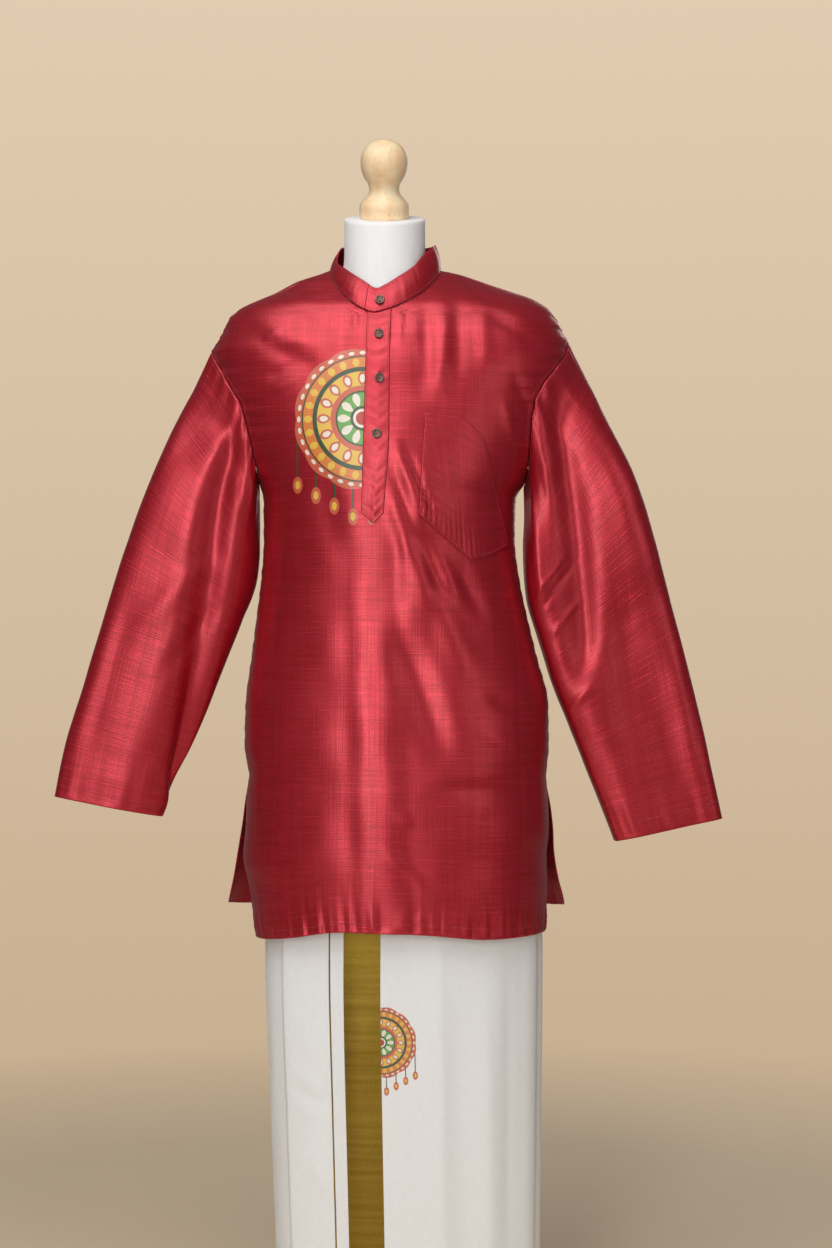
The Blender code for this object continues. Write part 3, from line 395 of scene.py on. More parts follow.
FRONT_CREASES = rows(
    Fold,
    # Gathers under the collar, left and right of the placket
    (-0.056, 1.412, -0.054, 1.372, 0.003, 0.002),
    (-0.05, 1.408, -0.049, 1.376, 0.0026, -0.0017),
    (-0.002, 1.402, -0.0065, 1.352, 0.0034, -0.0025),
    (0.005, 1.406, 0.001, 1.36, 0.0032, 0.0021),
    (0.012, 1.41, 0.0085, 1.368, 0.0032, -0.0018),
    (0.06, 1.44, 0.056, 1.29, 0.012, 0.0026),
    # Diagonals of the wearer's right chest, and upright waves on the left
    (-0.205, 1.402, -0.085, 1.342, 0.013, 0.002),
    (-0.195, 1.368, -0.095, 1.318, 0.012, -0.0018),
    (-0.15, 1.418, -0.07, 1.375, 0.011, -0.0014),
    (0.024, 1.425, 0.034, 1.3, 0.01, 0.0016),
    (0.082, 1.432, 0.078, 1.29, 0.011, -0.002),
    (0.112, 1.425, 0.116, 1.3, 0.011, 0.0018),
    (-0.182, 1.365, -0.152, 1.378, 0.006, 0.0012),
    (-0.176, 1.312, -0.13, 1.334, 0.0075, -0.0013),
    (-0.172, 1.292, -0.12, 1.31, 0.007, 0.0011),
    # Pulls from the shoulder towards the wearer's left armhole
    (0.105, 1.42, 0.19, 1.385, 0.009, 0.0014),
    (0.12, 1.398, 0.196, 1.352, 0.008, -0.0014),
    (0.09, 1.43, 0.15, 1.412, 0.007, -0.001),
    (0.15, 1.33, 0.185, 1.24, 0.009, -0.0018),
    (0.135, 1.3, 0.165, 1.2, 0.0085, 0.0015),
    # Pulls beside and below the placket
    (-0.006, 1.238, 0.036, 1.13, 0.0075, 0.0022),
    (0.004, 1.228, 0.052, 1.12, 0.007, -0.0024),
    (-0.008, 1.2, 0.022, 1.11, 0.006, -0.0018),
    (-0.012, 1.168, 0.02, 1.06, 0.009, 0.0024),
    (0.02, 1.12, 0.066, 1.02, 0.011, -0.003),
    (0.04, 1.1, 0.088, 1.01, 0.01, 0.0028),
    (0.075, 1.075, 0.118, 0.985, 0.011, -0.0022),
    (-0.1, 1.2, -0.078, 1.06, 0.018, -0.0018),
    # Belly and skirt
    (0.11, 0.9, 0.185, 0.862, 0.011, -0.0022),
    (0.1, 0.85, 0.19, 0.815, 0.012, 0.0018),
    (-0.17, 0.72, -0.15, 0.7, 0.005, 0.0012),
    (-0.176, 0.688, -0.146, 0.676, 0.005, -0.0012),
    (-0.018, 0.698, 0.04, 0.642, 0.005, 0.0016),
    (0.002, 0.744, 0.018, 0.724, 0.005, 0.0016),
    (0.026, 0.614, 0.031, 0.58, 0.0055, 0.0016),
)
BACK_CREASES = rows(
    Fold,
    (-0.15, 1.35, -0.07, 1.39, 0.01, 0.0016),
    (0.15, 1.35, 0.07, 1.39, 0.01, 0.0016),
    (-0.16, 1.29, -0.09, 1.33, 0.011, -0.0018),
    (0.155, 1.285, 0.08, 1.32, 0.011, -0.0016),
    (-0.03, 1.1, 0.04, 1.04, 0.013, 0.0024),
    (-0.1, 1.06, -0.02, 1.01, 0.014, -0.0026),
    (0.11, 1.08, 0.04, 0.99, 0.014, 0.0026),
    (0.045, 0.95, 0.04, 0.64, 0.013, 0.0024),
    (-0.04, 0.93, -0.05, 0.64, 0.012, -0.0022),
    (0.12, 0.9, 0.12, 0.64, 0.012, -0.0024),
    (-0.115, 0.88, -0.12, 0.64, 0.012, 0.0022),
)

SLEEVES = {
    Side.RIGHT: rows(
        SleeveSection,
        (-0.253, 1.357, -0.1885, 1.176, 0.062, 1.0),
        (-0.2775, 1.307, -0.1872, 1.135, 0.062, 1.0),
        (-0.3045, 1.252, -0.1872, 1.096, 0.058, 1.05),
        (-0.3386, 1.171, -0.1925, 1.043, 0.052, 1.1),
        (-0.3686, 1.089, -0.211, 0.994, 0.046, 1.15),
        (-0.3985, 0.994, -0.237, 0.929, 0.04, 1.2),
        (-0.4284, 0.896, -0.2692, 0.847, 0.034, 1.25),
        (-0.4488, 0.831, -0.2965, 0.787, 0.03, 1.3),
        (-0.4651, 0.756, -0.3196, 0.727, 0.027, 1.3),
    ),
    Side.LEFT: rows(
        SleeveSection,
        (0.2305, 1.373, 0.172, 1.176, 0.062, 1.0),
        (0.257, 1.32, 0.1722, 1.137, 0.062, 1.0),
        (0.2815, 1.266, 0.1705, 1.092, 0.058, 1.05),
        (0.321, 1.184, 0.1745, 1.027, 0.052, 1.1),
        (0.3468, 1.103, 0.1915, 0.967, 0.046, 1.15),
        (0.3672, 1.026, 0.2105, 0.906, 0.04, 1.2),
        (0.393, 0.929, 0.2339, 0.847, 0.034, 1.25),
        (0.4162, 0.831, 0.2625, 0.776, 0.03, 1.3),
        (0.4393, 0.726, 0.2938, 0.6948, 0.027, 1.3),
    ),
}
SLEEVE_FOLDS = {
    Side.RIGHT: rows(
        SleeveFold,
        (0.02, 0.255, 0.98, 0.525, 0.046, -0.0125, 2.0),
        (0.26, 0.22, 1.12, 0.27, 0.07, 0.0012),
        (0.12, 0.72, 0.9, 0.66, 0.05, 0.0055),
        (0.15, 0.84, 0.95, 0.8, 0.045, -0.005),
    ),
    Side.LEFT: rows(
        SleeveFold,
        (0.04, 0.38, 0.48, 0.39, 0.028, 0.005),
        (0.0, 0.17, 0.7, 0.358, 0.045, -0.0112),
        (0.06, 0.08, 0.62, 0.12, 0.06, 0.005),
        (0.48, 0.22, 1.12, 0.16, 0.06, -0.004),
        (0.48, 0.36, 1.12, 0.33, 0.05, 0.0035),
        (0.1, 0.7, 0.9, 0.66, 0.05, 0.005),
        (0.15, 0.84, 0.95, 0.8, 0.045, -0.005),
    ),
}
# Finer sleeve creases: x is the way round in metres from the outer edge, z the way down
SLEEVE_CREASES = {
    Side.RIGHT: rows(
        Fold,
        (0.12, 0.02, 0.135, 0.13, 0.006, 0.0014),
        (0.1, 0.02, 0.11, 0.15, 0.006, -0.0014),
        (0.15, 0.03, 0.15, 0.12, 0.006, -0.0014),
        (0.075, 0.05, 0.08, 0.3, 0.01, 0.0018),
        (0.11, 0.24, 0.06, 0.42, 0.01, 0.002),
        (0.13, 0.3, 0.09, 0.46, 0.009, -0.0018),
        (0.045, 0.34, 0.05, 0.6, 0.011, -0.0016),
        (0.12, 0.52, 0.115, 0.64, 0.008, 0.0014),
        (0.26, 0.2, 0.24, 0.44, 0.011, 0.002),
        (0.3, 0.3, 0.28, 0.6, 0.011, -0.002),
    ),
    Side.LEFT: rows(
        Fold,
        (0.13, 0.02, 0.13, 0.16, 0.006, 0.0016),
        (0.105, 0.02, 0.11, 0.18, 0.006, -0.0016),
        (0.15, 0.26, 0.1, 0.24, 0.006, 0.0018),
        (0.145, 0.285, 0.095, 0.262, 0.0055, -0.0018),
        (0.14, 0.335, 0.1, 0.315, 0.0055, 0.0016),
        (0.15, 0.46, 0.105, 0.44, 0.006, 0.0016),
        (0.045, 0.1, 0.05, 0.34, 0.011, 0.002),
        (0.07, 0.36, 0.1, 0.56, 0.011, -0.0022),
        (0.035, 0.44, 0.045, 0.62, 0.01, 0.0018),
        (0.26, 0.2, 0.24, 0.44, 0.011, 0.002),
        (0.3, 0.3, 0.28, 0.6, 0.011, -0.002),
    ),
}

PLACKET = rows(
    PlacketRow,
    (1.4, -0.04, -0.008),
    (1.346, -0.0412, -0.01),
    (1.24, -0.044, -0.0105),
    (1.133, -0.047, -0.0177),
)
PLACKET_POINT = (-0.0310, 1.1200)
POCKET = rows(
    PocketRow,
    (0.0, 0.0362, 1.2638, 0.0271, 1.1307),
    (0.55, 0.0832, 1.2598, 0.0962, 1.0721),
    (0.78, 0.1, 1.246, 0.1222, 1.0792),
    (1.0, 0.1138, 1.2302, 0.1475, 1.0935),
)
BUTTONS = (
    ButtonPlace("button_1_collar", -0.0235, 1.4170, 0.0, 0.0),
    ButtonPlace("button_2", -0.0240, 1.3690, 9.0, -10.0),
    ButtonPlace("button_3", -0.0233, 1.3100, 11.0, 6.0),
    ButtonPlace("button_4", -0.0266, 1.2366, 2.0, 2.0),
)

MUNDU = rows(
    OvalSection,
    (1.0, -0.15, 0.15, 0.1, 0.092, 2.0),
    (0.9, -0.169, 0.175, 0.107, 0.099, 2.1),
    (0.8, -0.178, 0.186, 0.11, 0.103, 2.2),
    (0.68, -0.182, 0.192, 0.111, 0.106, 2.3),
    (0.542, -0.1835, 0.1965, 0.112, 0.108, 2.35),
    (0.35, -0.1765, 0.195, 0.111, 0.106, 2.4),
    (0.15, -0.169, 0.193, 0.11, 0.104, 2.4),
    (0.075, -0.167, 0.192, 0.1095, 0.1035, 2.4),
)
MUNDU_FOLDS = rows(
    MunduFold,
    (9.0, 10.0, 0.74, 7.0, 0.0045),
    (52.0, 50.0, 0.66, 8.0, -0.003),
    (76.0, 74.0, 0.74, 5.0, -0.0035),
    (-28.0, -27.0, 0.62, 8.0, -0.0025),
    (128.0, 132.0, 0.8, 9.0, 0.005),
    (166.0, 162.0, 0.8, 8.0, -0.0045),
    (200.0, 204.0, 0.8, 9.0, 0.005),
)

MUNDU_CREASES = rows(
    Fold,
    (-0.14, 0.4, -0.085, 0.372, 0.006, 0.0012),
    (-0.145, 0.376, -0.07, 0.356, 0.0055, -0.0012),
    (-0.142, 0.35, -0.08, 0.342, 0.005, 0.0009),
    (0.032, 0.64, 0.034, 0.1, 0.005, 0.0016),
    (0.052, 0.52, 0.06, 0.06, 0.014, -0.0016),
    (0.088, 0.56, 0.094, 0.02, 0.012, 0.0022),
    (0.125, 0.64, 0.122, 0.04, 0.012, -0.002),
    (0.132, 0.405, 0.152, 0.398, 0.0045, 0.0012),
    (-0.118, 0.3, -0.075, 0.23, 0.012, 0.0014),
    (-0.04, 0.56, -0.035, 0.06, 0.02, 0.0012),
)

FORM = rows(
    FormSection,
    (1.54, -0.018, -0.058, 0.022, 0.03, 0.03, 0.0543),
    (1.5, -0.018, -0.058, 0.022, 0.03, 0.03, 0.0544),
    (1.478, -0.018, -0.062, 0.026, 0.026, 0.034, 0.0545),
    (1.464, -0.018, -0.082, 0.046, 0.02, 0.046, 0.055),
    (1.4512, -0.018, -0.134, 0.1105, 0.027, 0.06, 0.0555),
    (1.4347, -0.0175, -0.1675, 0.1605, 0.044, 0.072, 0.056),
    (1.4262, -0.0165, -0.1865, 0.182, 0.052, 0.078, 0.057),
    (1.4122, -0.015, -0.205, 0.194, 0.061, 0.084, 0.058),
    (1.395, -0.012, -0.212, 0.2, 0.073, 0.09, 0.058),
    (1.37, -0.009, -0.212, 0.199, 0.084, 0.097, 0.05),
    (1.335, -0.008, -0.206, 0.192, 0.096, 0.103, 0.03),
    (1.3, -0.009, -0.194, 0.179, 0.103, 0.107, 0.03),
    (1.25, -0.01, -0.178, 0.16, 0.11, 0.11, 0.03),
    (1.2, -0.01, -0.167, 0.148, 0.113, 0.107, 0.03),
    (1.157, -0.01, -0.162, 0.141, 0.112, 0.102, 0.03),
    (1.1, -0.008, -0.156, 0.137, 0.106, 0.095, 0.03),
    (1.04, -0.003, -0.144, 0.139, 0.096, 0.087, 0.03),
    (0.995, 0.0, -0.1447, 0.1447, 0.0943, 0.0865, 0.03),
    (0.94, 0.002, -0.154, 0.158, 0.096, 0.088, 0.03),
    (0.87, 0.003, -0.164, 0.172, 0.1, 0.092, 0.03),
    (0.81, 0.003, -0.166, 0.174, 0.101, 0.093, 0.03),
    (0.775, 0.003, -0.158, 0.166, 0.095, 0.087, 0.03),
    (0.76, 0.003, -0.142, 0.15, 0.083, 0.076, 0.03),
)

KNOB = rows(
    KnobPoint,
    (0.0, 0.106),
    (0.011, 0.1042),
    (0.0205, 0.099),
    (0.027, 0.092),
    (0.031, 0.083),
    (0.032, 0.0745),
    (0.0308, 0.064),
    (0.027, 0.054),
    (0.0222, 0.0465),
    (0.0204, 0.039),
    (0.022, 0.0325),
    (0.0275, 0.0262),
    (0.0325, 0.02),
    (0.034, 0.013),
    (0.0338, 0.004),
    (0.0326, 0.0),
)

GOLD_BAND_X = (-0.0692, -0.0211)
GOLD_LINE_X = -0.0868
DROP_SPACING = 0.27
ROSETTE_RINGS = (
    (0.09, Paint.WHITE),
    (0.13, Paint.DARK_GREEN),
    (0.17, Paint.LIGHT_GREEN),
    (0.36, Paint.DARK_GREEN),
    (0.385, Paint.CORAL),
    (0.46, Paint.YELLOW),
    (0.66, Paint.DARK_GREEN),
    (0.72, Paint.ORANGE),
    (0.86, Paint.DARK_GREEN),
    (0.88, Paint.CORAL),
)
ROSETTE_PETALS = (
    PetalRing(0.17, 0.36, 10, 0.45, Paint.WHITE),
    PetalRing(0.46, 0.66, 16, 0.42, Paint.CORAL),
    PetalRing(0.50, 0.62, 16, 0.16, Paint.WHITE),
    PetalRing(0.73, 0.85, 26, 0.32, Paint.YELLOW),
    PetalRing(0.90, 0.95, 36, 0.35, Paint.WHITE),
)
LAMPS = (
    Lamp("key", (-0.66, -3.2, 1.36), (0.0, 0.0, 1.00), 0.62, 2.4, 36.0, (1.0, 0.985, 0.97)),
    Lamp("top", (-0.45, -1.4, 3.20), (0.0, 0.0, 1.20), 2.4, 2.0, 45.0, (1.0, 0.985, 0.97)),
    Lamp("fill", (1.9, -2.6, 1.50), (0.0, 0.0, 0.95), 1.0, 1.8, 8.0, (1.0, 0.98, 0.96)),
    Lamp("back", (0.9, 3.0, 1.9), (0.0, 0.0, 0.9), 2.0, 2.0, 16.0, (1.0, 0.98, 0.95)),
)


# Tables and waves


def column(table: Sequence[NamedTuple], name: str) -> Array:
    """One named column of a table as an array."""
    return np.array([getattr(row, name) for row in table])


def smooth_curve(keys: Array, values: Array, at: Array) -> Array:
    """A smooth curve through values at keys: a cubic Hermite spline.

    Its slope at a key is the mean of the two neighbours' slopes, held level at turning points
    so that it never swings past a value.

    Args:
        keys: Where the values stand, rising or falling.
        values: The values.
        at: Places between the keys.

    Returns:
        The curve's values, in the shape of at.
    """
    order = np.argsort(keys)
    keys = keys[order]
    values = values[order]
    at = np.clip(np.asarray(at, dtype=float), keys[0], keys[-1])
    slopes = np.diff(values) / np.diff(keys)
    before = np.concatenate([slopes[:1], slopes])
    after = np.concatenate([slopes, slopes[-1:]])
    steepest = 2.0 * np.minimum(np.abs(before), np.abs(after))
    tangents = np.where(before * after > 0.0, (before + after) / 2.0, 0.0)
    tangents = np.clip(tangents, -steepest, steepest)
    index = np.clip(np.searchsorted(keys, at, side="right") - 1, 0, len(keys) - 2)
    width = keys[index + 1] - keys[index]
    t = (at - keys[index]) / width
    start = values[index] * (1 + 2 * t) * (1 - t) ** 2 + tangents[index] * width * t * (1 - t) ** 2
    end = values[index + 1] * t**2 * (3 - 2 * t) + tangents[index + 1] * width * t**2 * (t - 1)
    return start + end


def read_table(table: Sequence[NamedTuple], name: str, at: Array) -> Array:
    """A table's column at other places of its first column, on a smooth curve through its rows."""
    return smooth_curve(column(table, table[0]._fields[0]), column(table, name), at)


def read_row(table: Sequence[NamedTuple], at: Array) -> NamedTuple:
    """Every column at other places of the first one, as one row that holds arrays."""
    kind = type(table[0])
    return kind(*(read_table(table, name, at) for name in kind._fields))


def read_straight(table: Sequence[NamedTuple], name: str, at: Array) -> Array:
    """A table's column at other places of its first column, joined by straight lines."""
    keys = column(table, table[0]._fields[0])
    order = np.argsort(keys)
    return np.interp(at, keys[order], column(table, name)[order])


def as_grids(*values: Array | float) -> list[Array]:
    """Values as arrays of numbers that share one shape."""
    return np.broadcast_arrays(*(np.asarray(value, dtype=float) for value in values))


def ease(t: Array) -> Array:
    """0 to 1 with a level start and end: 3t^2 - 2t^3."""
    t = np.clip(t, 0.0, 1.0)
    return t * t * (3.0 - 2.0 * t)


def swell(away: Array) -> Array:
    """A ripple's height beside a seam: d * exp(1 - d), nothing at the seam and 1 one reach away."""
    return away * np.exp(1.0 - away)


def uneven_wave(t: Array, seed: int) -> Array:
    """A wave with uneven spacing and height: four sines of seeded lengths and phases, summed.

    Args:
        t: Place along the wave, where 1 is about one ripple.
        seed: Chooses the lengths and phases.

    Returns:
        Heights of about -1 to 1.
    """
    rng = np.random.default_rng(seed)
    lengths = rng.uniform(0.7, 2.6, 4)
    phases = rng.uniform(0.0, 2.0 * np.pi, 4)
    total = sum(np.sin(2.0 * np.pi * t / length + phase) for length, phase in zip(lengths, phases))
    return total / 2.6


def soft_waves(x: Array, z: Array, seed: int, shortest: float, longest: float) -> Array:
    """Broad shallow unevenness: nine plane waves of seeded lengths and ways, summed.

    Args:
        x: Place across, in metres.
        z: Place along, in metres.
        seed: Chooses the waves.
        shortest: Shortest wave length, in metres.
        longest: Longest wave length, in metres.

    Returns:
        Heights of about -1 to 1.
    """
    rng = np.random.default_rng(seed)
    total = 0.0
    for _ in range(9):
        length = rng.uniform(shortest, longest)
        way = rng.uniform(-0.6, 0.6)
        phase = rng.uniform(0.0, 2.0 * np.pi)
        run = x * np.cos(way) + z * np.sin(way)
        total = total + np.sin(2.0 * np.pi * run / length + phase)
    return total / 4.5


def fold_height(folds: Sequence[Fold], x: Array, z: Array) -> Array:
    """How far folds lift a panel: a bell across each line, eased off at its two ends.

    The bell is height * exp(-|off / width|^power), where off is the distance from the fold's
    line; a power of 2 is a round bell and 4 a flat-topped one.

    Args:
        folds: The folds.
        x: Place across.
        z: Place along.

    Returns:
        The lift at each place, in metres.
    """
    lift = np.zeros(np.broadcast(x, z).shape)
    for fold in folds:
        run_x = fold.x_low - fold.x_top
        run_z = fold.z_low - fold.z_top
        length = math.hypot(run_x, run_z)
        along = ((x - fold.x_top) * run_x + (z - fold.z_top) * run_z) / length**2
        off = ((x - fold.x_top) * run_z - (z - fold.z_top) * run_x) / length
        fade = ease(along / 0.42 + 0.12) * ease((1.0 - along) / 0.42 + 0.12)
        lift += fold.height * np.exp(-(np.abs(off / fold.width) ** fold.power)) * fade
    return lift


class Oval(NamedTuple):
    """Points of a squared oval about its centre, and its outward normals."""

    x: Array
    y: Array
    out_x: Array
    out_y: Array


def squared_oval(turn: Array, half: Array, front: Array, back: Array, square: Array) -> Oval:
    """A squared oval: x = half * sin^(2/s) and y = -depth * cos^(2/s), 0 in front.

    Args:
        turn: Angle round, in radians.
        half: Half its width.
        front: Its depth in front.
        back: Its depth behind.
        square: How square it is, where 2 is an ellipse.

    Returns:
        The points and their normals.
    """
    depth = np.where(np.cos(turn) >= 0.0, front, back)
    across = np.sign(np.sin(turn)) * np.abs(np.sin(turn)) ** (2.0 / square)
    ahead = np.sign(np.cos(turn)) * np.abs(np.cos(turn)) ** (2.0 / square)
    size = np.hypot(across / half, ahead / depth)
    return Oval(half * across, -depth * ahead, across / half / size, -ahead / depth / size)


# Meshes from grids


def place_object(name: str, data: bpy.types.ID) -> bpy.types.Object:
    """A new object in the scene, at the origin."""
    piece = bpy.data.objects.new(name, data)
    bpy.context.scene.collection.objects.link(piece)
    return piece


def run_lengths(points: Array, axis: int) -> Array:
    """Distance run along one axis of a grid or a line of points, from its first one."""
    steps = np.linalg.norm(np.diff(points, axis=axis), axis=-1)
    start = np.zeros_like(np.take(steps, [0], axis=axis))
    return np.concatenate([start, np.cumsum(steps, axis=axis)], axis=axis)


def closed_ring(points: Array) -> Array:
    """A grid with its first column repeated as its last."""
    return np.concatenate([points, points[:, :1]], axis=1)


def unit_grid(columns: int, steps: int) -> list[Array]:
    """Shares across and down a grid, each from 0 to 1."""
    return np.meshgrid(np.linspace(0.0, 1.0, columns + 1), np.linspace(0.0, 1.0, steps + 1))


def cloth_map(points: Array, middle: int) -> Array:
    """UV map of a grid in metres: across from the middle column, and down the grid."""
    across = run_lengths(points, 1)
    across = across - across[:, middle : middle + 1]
    down = run_lengths(points, 0).mean(axis=1, keepdims=True) + np.zeros_like(across)
    return np.stack([across, -down], axis=-1)


def grid_object(
    name: str,
    points: Array,
    maps: dict[str, Array],
    joined: bool = False,
    flip: bool = False,
    skip_column: int | None = None,
) -> bpy.types.Object:
    """An object on a grid of points: rows run down, columns run anticlockwise from above.

    Args:
        name: Name of the piece.
        points: Rows by columns by 3. A joined grid repeats no column.
        maps: UV maps, rows by columns (one more on a joined grid) by 2.
        joined: Whether the last column joins the first.
        flip: Whether the faces turn the other way.
        skip_column: A column of faces that is left out, where two grids meet.

    Returns:
        The object, at the origin.
    """
    count, columns = points.shape[:2]
    wide = columns + 1 if joined else columns
    index = np.arange(count * wide).reshape(count, wide)
    quads = np.stack([index[:-1, :-1], index[1:, :-1], index[1:, 1:], index[:-1, 1:]], axis=-1)
    if skip_column is not None:
        quads = np.delete(quads, skip_column, axis=1)
    quads = quads.reshape(-1, 4)
    if flip:
        quads = quads[:, ::-1]
    vertex = (index // wide) * columns + (index % wide) % columns
    faces = vertex.ravel()[quads]
    mesh = bpy.data.meshes.new(name)
    mesh.from_pydata(points.reshape(-1, 3).tolist(), [], faces.tolist())
    for title, values in maps.items():
        layer = mesh.uv_layers.new(name=title)
        layer.data.foreach_set("uv", values.reshape(-1, 2)[quads.ravel()].ravel())
    mesh.shade_smooth()
    return place_object(name, mesh)


def weld(piece: bpy.types.Object, distance: float = 1e-5) -> None:
    """Join the points of a piece that lie on each other."""
    work = bmesh.new()
    work.from_mesh(piece.data)
    bmesh.ops.remove_doubles(work, verts=work.verts, dist=distance)
    work.to_mesh(piece.data)
    work.free()
    piece.data.shade_smooth()


def turned(name: str, profile: Array, steps: int, from_above: bool = False) -> bpy.types.Object:
    """A solid of revolution: the profile's radii and heights carried round the Z axis.

    Args:
        name: Name of the piece.
        profile: Points of radius and height, down the outer side from axis to axis.
        steps: How many steps go round.
        from_above: Whether its map is its own plan, in place of the distances run.

    Returns:
        The object.
    """
    turn = np.linspace(0.0, 2.0 * np.pi, steps, endpoint=False)
    radii = profile[:, :1]
    points = np.stack([radii * np.cos(turn), radii * np.sin(turn), profile[:, 1:] + 0.0 * turn], axis=-1)
    closed = closed_ring(points)
    weave = closed[..., :2] if from_above else cloth_map(closed, 0)
    piece = grid_object(name, points, {"weave": weave}, joined=True)
    weld(piece)
    return piece


def wall(piece: bpy.types.Object, thickness: float) -> None:
    """Give a cloth piece its thickness, laid inwards from the outer face."""
    solidify = piece.modifiers.new("wall", "SOLIDIFY")
    solidify.thickness = thickness
    solidify.offset = -1.0
    solidify.use_even_offset = False


def dress(piece: bpy.types.Object, finish: bpy.types.Material, slot: Slot, *nodes: str) -> None:
    """Give a piece its material and the body it rides on, and hide the nodes that it stands for."""
    piece.data.materials.clear()
    piece.data.materials.append(finish)
    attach(piece, BODY_NAME)
    if nodes:
        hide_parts(*nodes)


def unit(vectors: Array) -> Array:
    """Vectors made 1 long."""
    return vectors / np.maximum(np.linalg.norm(vectors, axis=-1, keepdims=True), TINY)


def normals_of(surface: Surface, u: Array, v: Array, step_u: float, step_v: float) -> Array:
    """Unit normals of a surface: the cross product of its differences along u and v.

    Args:
        surface: The surface.
        u: First parameter.
        v: Second parameter.
        step_u: Step along u for the difference.
        step_v: Step along v for the difference; its sign turns the normal over.

    Returns:
        The normals, in the places' shape by 3.
    """
    along_u = surface(u + step_u, v) - surface(u - step_u, v)
    along_v = surface(u, v + step_v) - surface(u, v - step_v)
    return unit(np.cross(along_u, along_v))


@dataclass
class StitchRun:
    """Rows of sewn stitches, gathered from many seams into one mesh.

    Each stitch is a small flat spindle: four rings of four points round its line, narrow at its
    two ends, half sunk in the cloth.
    """

    name: str
    length: float = 0.0030
    gap: float = 0.0011
    radius: float = 0.00032
    points: list[Array] = field(default_factory=list)

    def add(self, path: Array, normals: Array) -> None:
        """Lay stitches along a path.

        Args:
            path: Points along the seam, in order.
            normals: Outward normals at those points.
        """
        run = run_lengths(path, 0)
        count = max(int(run[-1] / (self.length + self.gap)), 1)
        middles = (np.arange(count) + 0.5) * run[-1] / count

        def read(values: Array, shift: float) -> Array:
            """Values of the path at the stitches' middles, moved along it."""
            return np.stack([np.interp(middles + shift, run, values[:, axis]) for axis in range(3)], axis=-1)

        start = read(path, -self.length / 2.0)
        along = read(path, self.length / 2.0) - start
        up = unit(read(normals, 0.0))
        side = unit(np.cross(up, along))
        shares = np.array([0.0, 0.22, 0.78, 1.0])[:, None]
        girth = np.array([0.35, 1.0, 1.0, 0.35])[:, None] * self.radius
        rise = np.array([-0.3, 0.35, 0.35, -0.3])[:, None] * self.radius
        wide = np.array([1.3, 0.0, -1.3, 0.0]) * girth
        high = np.array([0.0, 0.8, 0.0, -0.8]) * girth
        centre = start[:, None] + along[:, None] * shares + up[:, None] * rise
        ring = side[:, None, None] * wide[..., None] + up[:, None, None] * high[..., None]
        self.points.append((centre[:, :, None] + ring).reshape(count, 16, 3))

    def follow(
        self, surface: Surface, u: Array | float, v: Array | float, step_u: float, step_v: float
    ) -> None:
        """Lay stitches along a line on a surface, given by its two parameters."""
        u, v = as_grids(u, v)
        self.add(surface(u, v), normals_of(surface, u, v, step_u, step_v))

    def build(self, finish: bpy.types.Material, slot: Slot) -> bpy.types.Object:
        """Make the mesh of all stitches laid so far and dress it."""
        points = np.concatenate(self.points)
        corner = np.arange(4)
        after = (corner + 1) % 4
        band = np.stack([corner, after, 4 + after, 4 + corner], axis=-1)
        bands = [band + 4 * ring for ring in range(3)]
        faces = np.concatenate([*bands, [[3, 2, 1, 0], [12, 13, 14, 15]]])
        starts = (np.arange(len(points)) * 16)[:, None, None]
        mesh = bpy.data.meshes.new(self.name)
        mesh.from_pydata(points.reshape(-1, 3).tolist(), [], (starts + faces).reshape(-1, 4).tolist())
        mesh.shade_smooth()
        piece = place_object(self.name, mesh)
        dress(piece, finish, slot)
        LOG.info("%s: %d stitches", self.name, len(points))
        return piece


# The kurta's shapes


